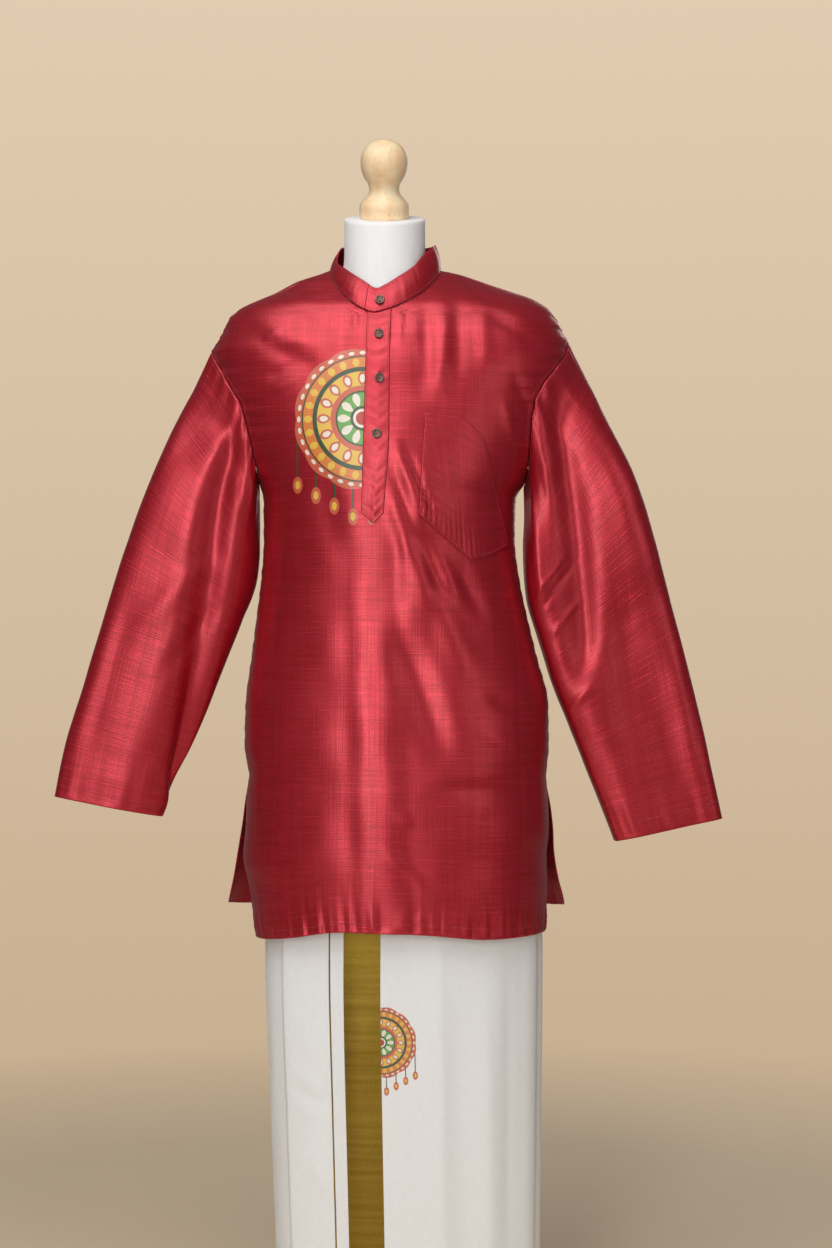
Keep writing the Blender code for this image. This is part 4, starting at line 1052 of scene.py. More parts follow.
@dataclass(frozen=True)
class KurtaShape:
    """Form of the kurta's body, neckline and hems, which its panels and trims share."""

    slit_front_angle: float = 83.0
    slit_back_angle: float = 98.0
    seam_gap: float = 0.0003
    shoulder_seam_gap: float = 0.0007
    low_angle: float = -10.0
    pucker_height: float = 0.0009
    pucker_reach: float = 0.009
    pucker_spacing: float = 0.0105
    pucker_degrees: float = 40.0
    armhole_strength: float = 1.5
    side_strength: float = 0.45
    hem_strength: float = 2.1
    hem_reach: float = 0.011
    hem_spacing: float = 4.6
    ripple: float = 0.00045
    ripple_lengths: tuple[float, float] = (0.035, 0.110)
    yoke_z: float = 1.44

    def frame(self, z: Array, panel: Panel | None) -> tuple[Array, Array, Array, Array, Array]:
        """Centre, half-width, front and back depth and squareness of the body at a height."""
        row = read_row(BODY, z)
        left = row.left
        right = row.right
        if panel:
            open_below = z < SLIT_TOP_Z
            left = left + read_table(FLARES, panel.value + "_left", z) * open_below
            right = right + read_table(FLARES, panel.value + "_right", z) * open_below
        return (left + right) / 2.0, (right - left) / 2.0, row.front, row.back, row.square

    def seam_angle(self, panel: Panel, side: Side, z: Array) -> Array:
        """Where the panel's seam or slit lies on one side, without its gap, in degrees."""
        name = panel.value + ("_left" if side is Side.RIGHT else "_right")
        slit = self.slit_front_angle if panel is Panel.FRONT else self.slit_back_angle
        return read_straight(EDGES, name, z) + (slit - 90.0) * ease((SLIT_TOP_Z - z) / SLIT_OPENS_IN)

    def puckers(self, angle: Array, z: Array, half: Array) -> Array:
        """Lift beside the armhole and side seams and above the hem: uneven waves that swell.

        Args:
            angle: Angle round the body.
            z: Height.
            half: Half the body's width there.

        Returns:
            The lift, in metres.
        """
        total = np.zeros(np.broadcast(angle, z).shape)
        strength = np.where(z > UNDERARM_Z, self.armhole_strength, self.side_strength)
        for panel in Panel:
            in_front = panel is Panel.FRONT
            for side in Side:
                sign = side.value
                seam = sign * self.seam_angle(panel, side, z)
                place = angle if in_front else np.where(angle * sign < 0.0, angle + sign * 360.0, angle)
                inside = (seam - place) * sign * (1.0 if in_front else -1.0)
                away = np.radians(np.maximum(inside, 0.0)) * half * 0.62 / self.pucker_reach
                near = swell(away) * (inside > 0.0) * (inside < self.pucker_degrees)
                seed = 31 + sign + 5 * in_front
                total += near * strength * uneven_wave(z / self.pucker_spacing, seed)
        hem = read_table(HEM, "front", np.sin(np.radians(angle)))
        above = np.maximum(z - hem, 0.0) / self.hem_reach
        total += self.hem_strength * swell(above) * (above < 6.0) * uneven_wave(angle / self.hem_spacing, 47)
        return total * self.pucker_height

    def point(self, angle: Array, z: Array, panel: Panel | None = None) -> Array:
        """Points of the kurta's outer face.

        Each section is a squared oval, lifted along its normal by the folds, the creases, broad
        waves and the puckers at the seams.

        Args:
            angle: From -180 to 180 degrees, 0 in front.
            z: Height.
            panel: The panel whose flare at the slit counts.

        Returns:
            The points.
        """
        angle, z = as_grids(angle, z)
        centre, half, front, back, square = self.frame(z, panel)
        turn = np.radians(angle)
        oval = squared_oval(turn, half, front, back, square)
        x = centre + oval.x
        front_lift = fold_height(FRONT_FOLDS + FRONT_CREASES, x, z)
        back_lift = fold_height(BACK_FOLDS + BACK_CREASES, x, z)
        lift = np.where(np.cos(turn) >= 0.0, front_lift, back_lift)
        below_yoke = ease((self.yoke_z - z) / 0.05)
        lift = lift + self.ripple * below_yoke * soft_waves(x, z, 5, *self.ripple_lengths)
        lift = lift * ease(2.2 * np.abs(np.cos(turn)))
        lift = lift + self.puckers(angle, z, half) * below_yoke
        return np.stack([x + lift * oval.out_x, oval.y + lift * oval.out_y, z], axis=-1)

    def angle_at(self, x: Array, z: Array) -> Array:
        """The angle of the front face at a place in front view."""
        centre, half, _, _, square = self.frame(z, Panel.FRONT)
        share = np.clip((x - centre) / half, -1.0, 1.0)
        return np.degrees(np.arcsin(np.sign(share) * np.abs(share) ** (square / 2.0)))

    def front_surface(self, x: Array, z: Array) -> Array:
        """Points of the front face at places in front view."""
        return self.point(self.angle_at(x, z), z, Panel.FRONT)

    def lay_on(self, x: Array, z: Array, lift: Array | float) -> tuple[Array, Array]:
        """Points moved out from the front face at places in front view, and their normals."""
        normals = normals_of(self.front_surface, x, z, 0.0015, 0.0015)
        return self.front_surface(x, z) + normals * np.asarray(lift)[..., None], normals

    def edge_angle(self, panel: Panel, side: Side, z: Array) -> Array:
        """Where a panel ends on one side, short of the seam by half its gap."""
        seam = self.seam_angle(panel, side, z)
        step = self.point(side.value * seam + 0.5, z, panel) - self.point(side.value * seam - 0.5, z, panel)
        gap = np.where(z > SHOULDER_FROM_Z, self.shoulder_seam_gap, self.seam_gap)
        shift = gap / 2.0 / np.maximum(np.linalg.norm(step, axis=-1), 1e-5)
        return side.value * (seam - shift if panel is Panel.FRONT else seam + shift)

    def neck_angle(self, z: Array, side: Side) -> Array:
        """The neckline's angle at a height, on one side of the centre front."""
        angles = np.linspace(self.low_angle, 90.0 * side.value, 160)
        return np.interp(z, read_table(NECKLINE, "seam_z", angles), angles)

    def neck_x(self, angle: Array) -> Array:
        """How far across the neckline stands at its angle."""
        return NECK_CENTRE_X + NECK_HALF_WIDTH * np.sin(np.radians(angle))

    def neck_seam_point(self, angle: Array) -> Array:
        """A point of the neck seam, on the face of the panels that it joins."""
        z = read_table(NECKLINE, "seam_z", angle)
        centre, half, _, _, _ = self.frame(z, None)
        share = np.clip((self.neck_x(angle) - centre) / half, -0.9999, 0.9999)
        ahead = np.degrees(np.arcsin(share))
        facing = np.cos(np.radians(angle)) >= 0.0
        return self.point(np.where(facing, ahead, 180.0 - ahead), z)

    def seam_height_at(self, x: Array) -> Array:
        """Height of the neck seam in front, at a place across."""
        angles = np.linspace(-60.0, 60.0, 120)
        return np.interp(x, self.neck_x(angles), read_table(NECKLINE, "seam_z", angles))


@dataclass
class BodyPanels:
    """Front and back of the kurta."""

    shape: KurtaShape
    finish: bpy.types.Material
    front_finish: bpy.types.Material
    stitches: StitchRun
    wall: float = 0.0011
    half_columns: int = 70
    back_columns: int = 120
    hem_stitch: float = 0.012
    slit_stitch: float = 0.008
    slit_radius: float = 0.15
    armhole_stitch: float = 2.4
    shoulder_stitch: float = 2.2

    def heights(self) -> Array:
        """Heights of the panels' rows from the neck to the slit's top, closer by the neck."""
        return np.concatenate(
            [
                [1.4684, 1.4678, 1.4670, 1.4662],
                np.linspace(1.4655, 1.4045, 36),
                np.linspace(1.4005, UNDERARM_Z, 92),
                np.linspace(UNDERARM_Z, SLIT_TOP_Z, 122)[1:],
            ]
        )

    def skirt_heights(self, panel: Panel, across: Array) -> Array:
        """Heights of the rows from the slit's top to the hem, closer at the hem."""
        shares = np.concatenate([np.linspace(0.0, 0.90, 40)[1:], np.linspace(0.90, 1.0, 14)[1:]])
        hem = read_table(HEM, panel.value, across)
        return SLIT_TOP_Z + (hem - SLIT_TOP_Z) * shares[:, None]

    def front_part(self, side: Side, z: Array, low: Array) -> Array:
        """Half of the front at some heights, from the neckline's angle low out to the seam."""
        share = np.linspace(0.0, 1.0, self.half_columns + 1)[None]
        outer = self.shape.edge_angle(Panel.FRONT, side, z)
        inner = self.shape.angle_at(self.shape.neck_x(low), z)
        return self.shape.point(inner + (outer - inner) * share, z, Panel.FRONT)

    def front_half(self, side: Side) -> Array:
        """Grid of one half of the front, from the centre front out to the seam."""
        z = self.heights()[:, None]
        upper = self.front_part(side, z, self.shape.neck_angle(z, side))
        across = side.value * np.linspace(0.0, 1.0, self.half_columns + 1)[None]
        skirt = self.front_part(side, self.skirt_heights(Panel.FRONT, across), self.shape.low_angle)
        return np.concatenate([upper, skirt])

    def build_front(self) -> bpy.types.Object:
        """The front: two halves welded below the neckline, with its print's map."""
        points = np.concatenate([self.front_half(Side.RIGHT)[:, ::-1], self.front_half(Side.LEFT)], axis=1)
        maps = {"weave": cloth_map(points, self.half_columns), "print": points[..., [0, 2]]}
        piece = grid_object("front_panel", points, maps, skip_column=self.half_columns)
        weld(piece)
        wall(piece, self.wall)
        dress(piece, self.front_finish, Slot.SILK, "kurta_front")
        return piece

    def back_part(self, z: Array, share: Array) -> Array:
        """Rows of the back at some heights, from the wearer's left round behind to the right."""
        start = self.shape.edge_angle(Panel.BACK, Side.LEFT, z)
        end = 360.0 + self.shape.edge_angle(Panel.BACK, Side.RIGHT, z)
        angle = start + (end - start) * share
        return self.shape.point(np.where(angle > 180.0, angle - 360.0, angle), z, Panel.BACK)

    def build_back(self) -> bpy.types.Object:
        """The back, which comes over the shoulders to the seam in front of them."""
        share = np.linspace(0.0, 1.0, self.back_columns + 1)[None]
        upper = self.back_part(np.concatenate([[NECK_HIGH_Z], self.heights()])[:, None], share)
        skirt = self.back_part(self.skirt_heights(Panel.BACK, 1.0 - 2.0 * share), share)
        points = np.concatenate([upper, skirt])
        piece = grid_object("back_panel", points, {"weave": cloth_map(points, self.back_columns // 2)})
        wall(piece, self.wall)
        dress(piece, self.finish, Slot.SILK, "kurta_back")
        return piece

    def sew(self, panel: Panel, angle: Array, z: Array) -> None:
        """Lay stitches on a panel along angles and heights."""

        def surface(turn: Array, height: Array) -> Array:
            """Points of this panel's face."""
            return self.shape.point(turn, height, panel)

        self.stitches.follow(surface, angle, z, 0.5, 0.0015)

    def build_stitches(self) -> None:
        """Topstitching of the hems, the slits, the side seams' ends and the armholes."""
        share = np.linspace(-0.97, 0.97, 200)
        for panel in Panel:
            inwards = -1.0 if panel is Panel.FRONT else 1.0
            hem = read_table(HEM, panel.value, share) + self.hem_stitch
            start = self.shape.edge_angle(panel, Side.RIGHT, hem)
            end = self.shape.edge_angle(panel, Side.LEFT, hem) - (0.0 if panel is Panel.FRONT else 360.0)
            angle = start + (end - start) * (share + 1.0) / 2.0
            self.sew(panel, np.where(angle < -180.0, angle + 360.0, angle), hem)
            for side in Side:
                z = np.linspace(SLIT_TOP_Z - 0.002, 0.618, 80)
                shift = side.value * inwards * math.degrees(self.slit_stitch / self.slit_radius)
                self.sew(panel, self.shape.edge_angle(panel, side, z) + shift, z)
        for side in Side:
            z = np.linspace(UNDERARM_Z + 0.02, NOTCH_Z[side] - 0.004, 120)
            shift = side.value * self.armhole_stitch
            self.sew(Panel.FRONT, self.shape.edge_angle(Panel.FRONT, side, z) - shift, z)
            self.sew(Panel.BACK, self.shape.edge_angle(Panel.BACK, side, z) + shift, z)
            z = np.linspace(1.392, 1.455, 60)
            turn = self.shape.seam_angle(Panel.BACK, side, z) * side.value
            self.sew(Panel.BACK, turn + side.value * self.shoulder_stitch, z)

    def build(self) -> None:
        """Build both panels and their stitches."""
        self.build_front()
        self.build_back()
        self.build_stitches()
        LOG.info("body panels built")


@dataclass
class Sleeve:
    """One long sleeve: a tube from the armhole's loop to the lens-shaped cuff."""

    side: Side
    shape: KurtaShape
    finish: bpy.types.Material
    stitches: StitchRun
    wall: float = 0.0011
    columns: int = 132
    rings: int = 176
    blend: float = 0.34
    length: float = 0.65
    girth: float = 0.34
    flat_power: float = 6.0
    armhole_step: float = 0.0006
    cuff_stitch: float = 0.018
    head_stitch: float = 0.0065

    @property
    def node(self) -> str:
        """Name of the solid that the sleeve stands for."""
        return "sleeve_left" if self.side is Side.LEFT else "sleeve_right"

    def armhole(self, around: Array) -> Array:
        """The armhole's points, from the shoulder seam down the front and up the back."""
        front = around <= 0.5
        drop = np.where(front, around, 1.0 - around) * 2.0
        top = NOTCH_Z[self.side]
        z = top + (UNDERARM_Z - top) * (1.0 - np.cos(np.pi * drop)) / 2.0
        ahead = self.shape.seam_angle(Panel.FRONT, self.side, z)
        behind = self.shape.seam_angle(Panel.BACK, self.side, z)
        return self.shape.point(self.side.value * np.where(front, ahead, behind), z)

    def measure(self, name: str) -> Array:
        """One measure of the sleeve at its sections."""
        return column(SLEEVES[self.side], name)

    def read(self, values: Array, along: Array) -> Array:
        """Values at the even sections, read at shares of the way down."""
        return smooth_curve(np.linspace(0.0, 1.0, len(values)), values, along)

    def ring(self, along: Array, around: Array) -> Array:
        """A ring: across from the outer to the inner edge, and deep by a rounded or lens wave.

        Across is (1 - cos t) / 2 of the way from the outer to the inner edge, and the depth is
        sin(t) raised to the section's sharpness.

        Args:
            along: Share of the way down the sleeve.
            around: Share of the way round, 0 at the outer edge and 0.25 in front.

        Returns:
            The points.
        """
        row = SleeveSection(*(self.read(self.measure(name), along) for name in SleeveSection._fields))
        turn = 2.0 * np.pi * around
        across = (1.0 - np.cos(turn)) / 2.0
        x = row.outer_x + (row.inner_x - row.outer_x) * across
        z = row.outer_z + (row.inner_z - row.outer_z) * across
        deep = np.abs(np.sin(turn)) ** row.sharp
        level = (1.0 - np.abs(np.cos(turn)) ** self.flat_power) ** (1.0 / self.flat_power)
        pressed = ease((along - 0.10) / 0.30) * ((np.cos(turn) > 0.0) | (self.side is Side.LEFT))
        deep = deep + (level - deep) * pressed
        return np.stack([x, -row.depth * np.sign(np.sin(turn)) * deep, z], axis=-1)

    def lift(self, along: Array, around: Array) -> Array:
        """How far folds, creases, waves and seam puckers lift the wall."""
        lift = np.zeros(np.broadcast(along, around).shape)
        for fold in SLEEVE_FOLDS[self.side]:
            share = np.clip((along - fold.along_top) / (fold.along_low - fold.along_top), 0.0, 1.0)
            place = fold.round_top + (fold.round_low - fold.round_top) * share**fold.bow
            fade = ease((along - fold.along_top) / 0.14) * ease((fold.along_low - along) / 0.12)
            lift += fold.height * np.exp(-(((around - place) / fold.width) ** 2)) * fade
        down = along * self.length
        lift += fold_height(SLEEVE_CREASES[self.side], around * self.girth, down)
        seed = 60 + self.side.value
        waves = soft_waves(np.sin(2.0 * np.pi * around) * 0.05, down, seed, 0.03, 0.09)
        lift += 0.0004 * waves * ease(along / 0.1)
        lift += 0.0011 * swell(down / 0.010) * uneven_wave(around * 44.0, seed + 7)
        cuff = np.maximum((self.length - down) / 0.014, 0.0)
        return lift + 0.0005 * swell(cuff) * uneven_wave(around * 30.0, seed + 9)

    def surface(self, around: Array, along: Array) -> Array:
        """Outer face: rings moved onto the armhole's loop near the top, lifted along the way out."""
        around, along = as_grids(around, along)
        around = np.mod(around, 1.0)
        loop = self.armhole(around)
        loop[..., 0] += self.side.value * self.armhole_step
        first = self.ring(np.zeros_like(along), around)
        share = (1.0 - ease(along / self.blend))[..., None]
        rings = self.ring(along, around) + (loop - first) * share
        middle_x = self.read((self.measure("outer_x") + self.measure("inner_x")) / 2.0, along)
        middle_z = self.read((self.measure("outer_z") + self.measure("inner_z")) / 2.0, along)
        out = rings - np.stack([middle_x, np.zeros_like(along), middle_z], axis=-1)
        out[..., 1] *= 2.0
        return rings + unit(out) * self.lift(along, around)[..., None]

    def build(self) -> None:
        """Build the sleeve with its cuff and armhole stitches."""
        around = (0.5 + np.arange(self.columns) / self.columns)[None]
        along = np.concatenate([np.linspace(0.0, 0.955, self.rings - 14), np.linspace(0.955, 1.0, 15)[1:]])
        points = self.surface(around, along[:, None])
        maps = {"weave": cloth_map(closed_ring(points), self.columns // 2)}
        flip = self.side is Side.LEFT
        piece = grid_object(f"{self.node}_cloth", points, maps, joined=True, flip=flip)
        wall(piece, self.wall)
        dress(piece, self.finish, Slot.SILK, self.node)
        turn = np.linspace(0.0, 1.0, 240)
        for level in (1.0 - self.cuff_stitch / self.length, self.head_stitch):
            self.stitches.follow(self.surface, turn, level, 0.004, 0.003 * self.side.value)
        LOG.info("%s built", self.node)


@dataclass
class Collar:
    """Stand collar: a band round the neck seam whose ends lap at the centre front."""

    shape: KurtaShape
    finish: bpy.types.Material
    stitches: StitchRun
    wall: float = 0.0013
    seam_gap: float = 0.0008
    lap: float = 0.0026
    lap_fade: float = 110.0
    bulge: float = 0.0020
    ripple: float = 0.00016
    over_angle: float = -20.0
    under_angle: float = 364.0
    columns: int = 300
    steps: int = 26
    tuck: float = 0.09
    topstitch: float = 0.10

    def surface(self, angle: Array, share: Array) -> Array:
        """Outer face: up from the neck seam by share of the rise, leaning in, bulged by sin."""
        angle, share = as_grids(angle, share)
        base = self.shape.neck_seam_point(angle)
        turn = np.radians(angle)
        rise = read_table(NECKLINE, "top_z", angle) - base[..., 2]
        lean = read_table(NECKLINE, "lean", angle) * rise
        lapped = self.lap * (1.0 - ease((angle - self.over_angle) / self.lap_fade))
        bow = np.sin(np.pi * share)
        out = lapped + self.bulge * bow - lean * share + self.ripple * uneven_wave(angle / 9.0, 83) * bow
        x = base[..., 0] + np.sin(turn) * out
        y = base[..., 1] - np.cos(turn) * out
        z = base[..., 2] + rise * share + self.seam_gap * (1.0 - share)
        return np.stack([x, y, z], axis=-1)

    def build(self) -> None:
        """Build the band with its two rows of topstitching."""
        angles = np.linspace(self.over_angle, self.under_angle, self.columns + 1)[None]
        tuck = self.tuck * ease((angles - 84.0) / 12.0) * ease((276.0 - angles) / 12.0)
        points = self.surface(angles, 1.0 - (1.0 + tuck) * np.linspace(0.0, 1.0, self.steps)[:, None])
        piece = grid_object("collar_band", points, {"weave": cloth_map(points, 0)})
        wall(piece, self.wall)
        dress(piece, self.finish, Slot.SILK, "collar")
        path = np.linspace(self.over_angle + 2.0, 356.0, 500)
        for level in (self.topstitch, 1.0 - self.topstitch):
            self.stitches.follow(self.surface, path, level, 0.6, 0.03)
        LOG.info("collar built")


@dataclass
class Placket:
    """Front placket: a strip laid on the front, from the neck seam to its pointed end."""

    shape: KurtaShape
    finish: bpy.types.Material
    dark_thread: bpy.types.Material
    stitches: StitchRun
    wall: float = 0.0011
    lift: float = 0.0020
    pucker: float = 0.0004
    hole_above: float = 0.0090
    hole_below: float = 0.0070
    drop: float = 0.0012
    columns: int = 26
    steps: int = 170
    topstitch: float = 0.08

    def place(self, share: Array, step: Array) -> tuple[Array, Array]:
        """Place in front view at a share of the way across and a share of the way down."""
        low = PLACKET[-1]
        tip = (PLACKET_POINT[0] - low.left) / (low.right - low.left)
        fall = (PLACKET_POINT[1] - low.z) * np.where(share < tip, share / tip, (1.0 - share) / (1.0 - tip))
        guess = PLACKET[0].z + (low.z - PLACKET[0].z) * step
        left = read_table(PLACKET, "left", guess)
        x = left + (read_table(PLACKET, "right", guess) - left) * share
        top = self.shape.seam_height_at(x) - self.drop
        return x, top + (low.z + fall - top) * step

    def surface(self, share: Array, step: Array) -> Array:
        """Outer face: the front's own points moved out, a little puckered between the buttons."""
        x, z = self.place(share, step)
        pucker = self.pucker * np.sin(np.pi * share) * (1.0 + uneven_wave(step * 16.0, 19))
        return self.shape.lay_on(x, z, self.lift + pucker)[0]

    def build(self) -> None:
        """Build the strip with its stitches and its buttonholes."""
        points = self.surface(*unit_grid(self.columns, self.steps))
        piece = grid_object("placket_strip", points, {"weave": cloth_map(points, self.columns // 2)})
        wall(piece, self.wall)
        dress(piece, self.finish, Slot.SILK, "placket")
        for across in (self.topstitch, 1.0 - self.topstitch):
            self.stitches.follow(self.surface, across, np.linspace(0.0, 0.985, 260), 0.03, -0.004)
        for down in (0.945, 0.985):
            self.stitches.follow(self.surface, np.linspace(0.08, 0.92, 40), down, 0.03, -0.004)
        self.build_buttonholes()
        LOG.info("placket built")

    def build_buttonholes(self) -> None:
        """Two close bars of thread along each upright buttonhole, which is longer than the button."""
        bars = StitchRun("buttonhole_stitches", length=0.0011, gap=0.0, radius=0.00055)
        for place in BUTTONS[1:]:
            z = np.linspace(place.z - self.hole_below, place.z + self.hole_above, 40)
            for shift in (-0.0008, 0.0008):
                bars.add(*self.shape.lay_on(np.full_like(z, place.x + shift), z, self.lift + 0.0003))
        bars.build(self.dark_thread, Slot.SILK)


@dataclass
class Pocket:
    """Chest pocket: a patch with a slanted mouth and a pointed bottom."""

    shape: KurtaShape
    finish: bpy.types.Material
    stitches: StitchRun
    wall: float = 0.0010
    lift: float = 0.0019
    bottom_pucker: float = 0.0011
    side_pucker: float = 0.0005
    columns: int = 76
    steps: int = 96
    edge_stitch: float = 0.022
    mouth_stitch: float = 0.135

    def surface(self, across: Array, step: Array) -> Array:
        """Outer face: the front's own points moved out, puckered along the sewn edges."""
        edge = PocketRow(*(read_straight(POCKET, name, across) for name in PocketRow._fields))
        x = edge.top_x + (edge.low_x - edge.top_x) * step
        z = edge.top_z + (edge.low_z - edge.top_z) * step
        bottom = swell(np.maximum(1.0 - step, 0.0) / 0.075)
        side = swell(np.minimum(across, 1.0 - across) / 0.08)
        pucker = self.bottom_pucker * bottom * (1.0 + uneven_wave(across * 17.0, 23)) / 2.0
        pucker = pucker + self.side_pucker * side * (1.0 + uneven_wave(step * 15.0, 29)) / 2.0
        return self.shape.lay_on(x, z, self.lift + np.abs(pucker))[0]

    def build(self) -> None:
        """Build the patch with stitches round its sewn edges and along the mouth's hem."""
        points = self.surface(*unit_grid(self.columns, self.steps))
        piece = grid_object("pocket_patch", points, {"weave": cloth_map(points, self.columns // 2)})
        wall(piece, self.wall)
        dress(piece, self.finish, Slot.SILK, "chest_pocket")
        run = np.linspace(0.01, 0.99, 160)
        low = 1.0 - self.edge_stitch
        for across, down in ((self.edge_stitch, run), (low, run), (run, low), (run, self.mouth_stitch)):
            self.stitches.follow(self.surface, across, down, 0.008, -0.008)
        LOG.info("pocket built")


@dataclass
class Button:
    """A sewn shell button: a turned disc with a rim, dished face, four holes and thread."""

    place: ButtonPlace
    shape: KurtaShape
    collar: Collar
    finish: bpy.types.Material
    thread: bpy.types.Material
    radius: float = 0.0064
    height: float = 0.0026
    steps: int = 48
    lap_gap: float = 0.0006
    placket_lift: float = 0.0022
    collar_lift: float = 0.0003

    def seat(self) -> tuple[Array, Array]:
        """The button's foot and the way it faces."""
        if self.place.name != "button_1_collar":
            points, normals = self.shape.lay_on(
                np.array([self.place.x]), np.array([self.place.z]), self.placket_lift
            )
            return points[0], normals[0]
        angle = math.degrees(math.asin((self.place.x - NECK_CENTRE_X) / NECK_HALF_WIDTH))
        low = self.collar.surface(angle, 0.0)
        high = self.collar.surface(angle, 1.0)
        share = (self.place.z - low[2]) / (high[2] - low[2])
        normal = normals_of(self.collar.surface, np.array([angle]), np.array([share]), 1.0, 0.05)[0]
        return self.collar.surface(angle, share) + normal * self.collar_lift, normal

    def profile(self) -> Array:
        """Radii and heights of the turned section, down from the centre of the dished face."""
        share = np.array([0.0, 0.30, 0.50, 0.60, 0.68, 0.76, 0.86, 0.94, 0.99, 1.0, 0.985, 0.93, 0.80, 0.0])
        rise = np.array([0.50, 0.50, 0.54, 0.68, 0.88, 0.98, 1.0, 0.94, 0.80, 0.60, 0.36, 0.14, 0.0, 0.0])
        return np.stack([share * self.radius, rise * self.height], axis=-1)

    def matrix(self) -> Matrix:
        """Place of the button: seated on the cloth, turned as it hangs on its thread."""
        spot, normal = self.seat()
        tilt = math.radians(max(abs(self.place.nod), abs(self.place.turn)))
        stand = self.lap_gap + self.radius * 0.8 * math.tan(tilt)
        facing = Vector(normal).to_track_quat("Z", "Y").to_matrix()
        lean = Matrix.Rotation(math.radians(self.place.nod), 3, "X")
        swing = Matrix.Rotation(math.radians(self.place.turn), 3, "Y")
        return Matrix.Translation(Vector(spot + normal * stand)) @ (facing @ lean @ swing).to_4x4()

    def build(self) -> None:
        """Build the button with its thread as a second mesh."""
        piece = turned(f"{self.place.name}_shell", self.profile(), self.steps, from_above=True)
        matrix = self.matrix()
        piece.data.transform(matrix)
        dress(piece, self.finish, Slot.SHELL, self.place.name)
        bars = StitchRun(f"{self.place.name}_thread", length=0.0030, gap=0.0, radius=0.00045)
        up = np.array(matrix.to_3x3() @ Vector((0.0, 0.0, 1.0)))
        floor = 0.50 * self.height + 0.00012
        for shift in (-0.0011, 0.0011):
            ends = ((-0.0015, shift, floor), (0.0015, shift, floor))
            bars.add(np.array([matrix @ Vector(end) for end in ends]), np.stack([up, up]))
        bars.length = 0.0020
        foot = ((0.0, 0.0, -0.0030), (0.0, 0.0, 0.0))
        bars.add(np.array([matrix @ Vector(end) for end in foot]), np.array([[1.0, 0.0, 0.0]] * 2))
        bars.build(self.thread, Slot.SHELL)


@dataclass
class Mundu:
    """The mundu: one long cloth wound one turn and a third, the inner end under the outer."""

    finish: bpy.types.Material
    stitches: StitchRun
    wall: float = 0.0009
    free_edge_angle: float = -54.0
    hidden_end_angle: float = 412.0
    layer_step: float = 0.0036
    step_from: float = 205.0
    step_to: float = 296.0
    edge_lift: float = 0.0028
    edge_reach: float = 9.0
    waves: float = 0.0004
    map_z: float = 0.40
    columns: int = 300
    steps: int = 130

    def surface(self, angle: Array, z: Array) -> Array:
        """Outer face: squared ovals, lifted by the folds and broad waves, stepping inwards.

        From the third quarter of the turn the cloth eases in by one layer, so its end lies
        under its start.

        Args:
            angle: Degrees round from the centre front, past 360 on the inner layer.
            z: Height.

        Returns:
            The points.
        """
        angle, z = as_grids(angle, z)
        turn = np.radians(angle)
        row = read_row(MUNDU, z)
        oval = squared_oval(turn, (row.right - row.left) / 2.0, row.front, row.back, row.square)
        outer = angle < self.step_from
        lift = -self.layer_step * ease((angle - self.step_from) / (self.step_to - self.step_from))
        for fold in MUNDU_FOLDS:
            share = np.clip((fold.z_top - z) / (fold.z_top - MUNDU[-1].z), 0.0, 1.0)
            place = fold.angle_top + (fold.angle_low - fold.angle_top) * share
            off = (angle - place + 180.0) % 360.0 - 180.0
            lift = lift + fold.height * np.exp(-((off / fold.width) ** 2)) * ease(3.0 * share)
        beside = (angle - self.free_edge_angle) / self.edge_reach
        lift = lift + self.edge_lift * np.exp(-(beside**2)) * outer
        lift = lift + fold_height(MUNDU_CREASES, turn * 0.16, z) * outer
        whole = np.radians(np.mod(angle, 360.0))
        lift = lift + self.waves * soft_waves(0.15 * (np.cos(whole) + np.sin(whole)), z, 3, 0.05, 0.16)
        centre = (row.left + row.right) / 2.0
        return np.stack([centre + oval.x + lift * oval.out_x, oval.y + lift * oval.out_y, z], axis=-1)

    def run_at(self, angle: Array) -> tuple[Array, Array]:
        """Points round the cloth at the map's height, and the distances run from the centre front."""
        points = self.surface(angle, self.map_z)
        run = run_lengths(points, 0)
        return points, run - np.interp(0.0, angle, run)

    def across_at(self, x: float) -> float:
        """Distance run along the cloth, from the centre front, to a place across the front."""
        points, run = self.run_at(np.linspace(-75.0, 75.0, 600))
        return float(np.interp(x, points[:, 0], run))

    def build(self) -> None:
        """Build the cloth, with a stitched hem at its free edge."""
        angle = np.linspace(self.free_edge_angle, self.hidden_end_angle, self.columns + 1)
        z = np.linspace(MUNDU[0].z, MUNDU[-1].z, self.steps + 1)
        _, run = self.run_at(angle)
        weave = np.stack(np.broadcast_arrays(run[None], z[:, None]), axis=-1)
        piece = grid_object("mundu_cloth", self.surface(angle[None], z[:, None]), {"weave": weave})
        wall(piece, self.wall)
        dress(piece, self.finish, Slot.COTTON, "mundu")
        down = np.linspace(0.98, 0.08, 300)
        self.stitches.follow(self.surface, self.free_edge_angle + 1.6, down, 0.5, 0.002)
        LOG.info("mundu built")


# The dress form


def shrunk(ring: Array, share: float) -> Array:
    """A ring drawn in towards its own middle, down to a share of its size."""
    centre = ring.mean(axis=1, keepdims=True)
    return centre + (ring - centre) * share


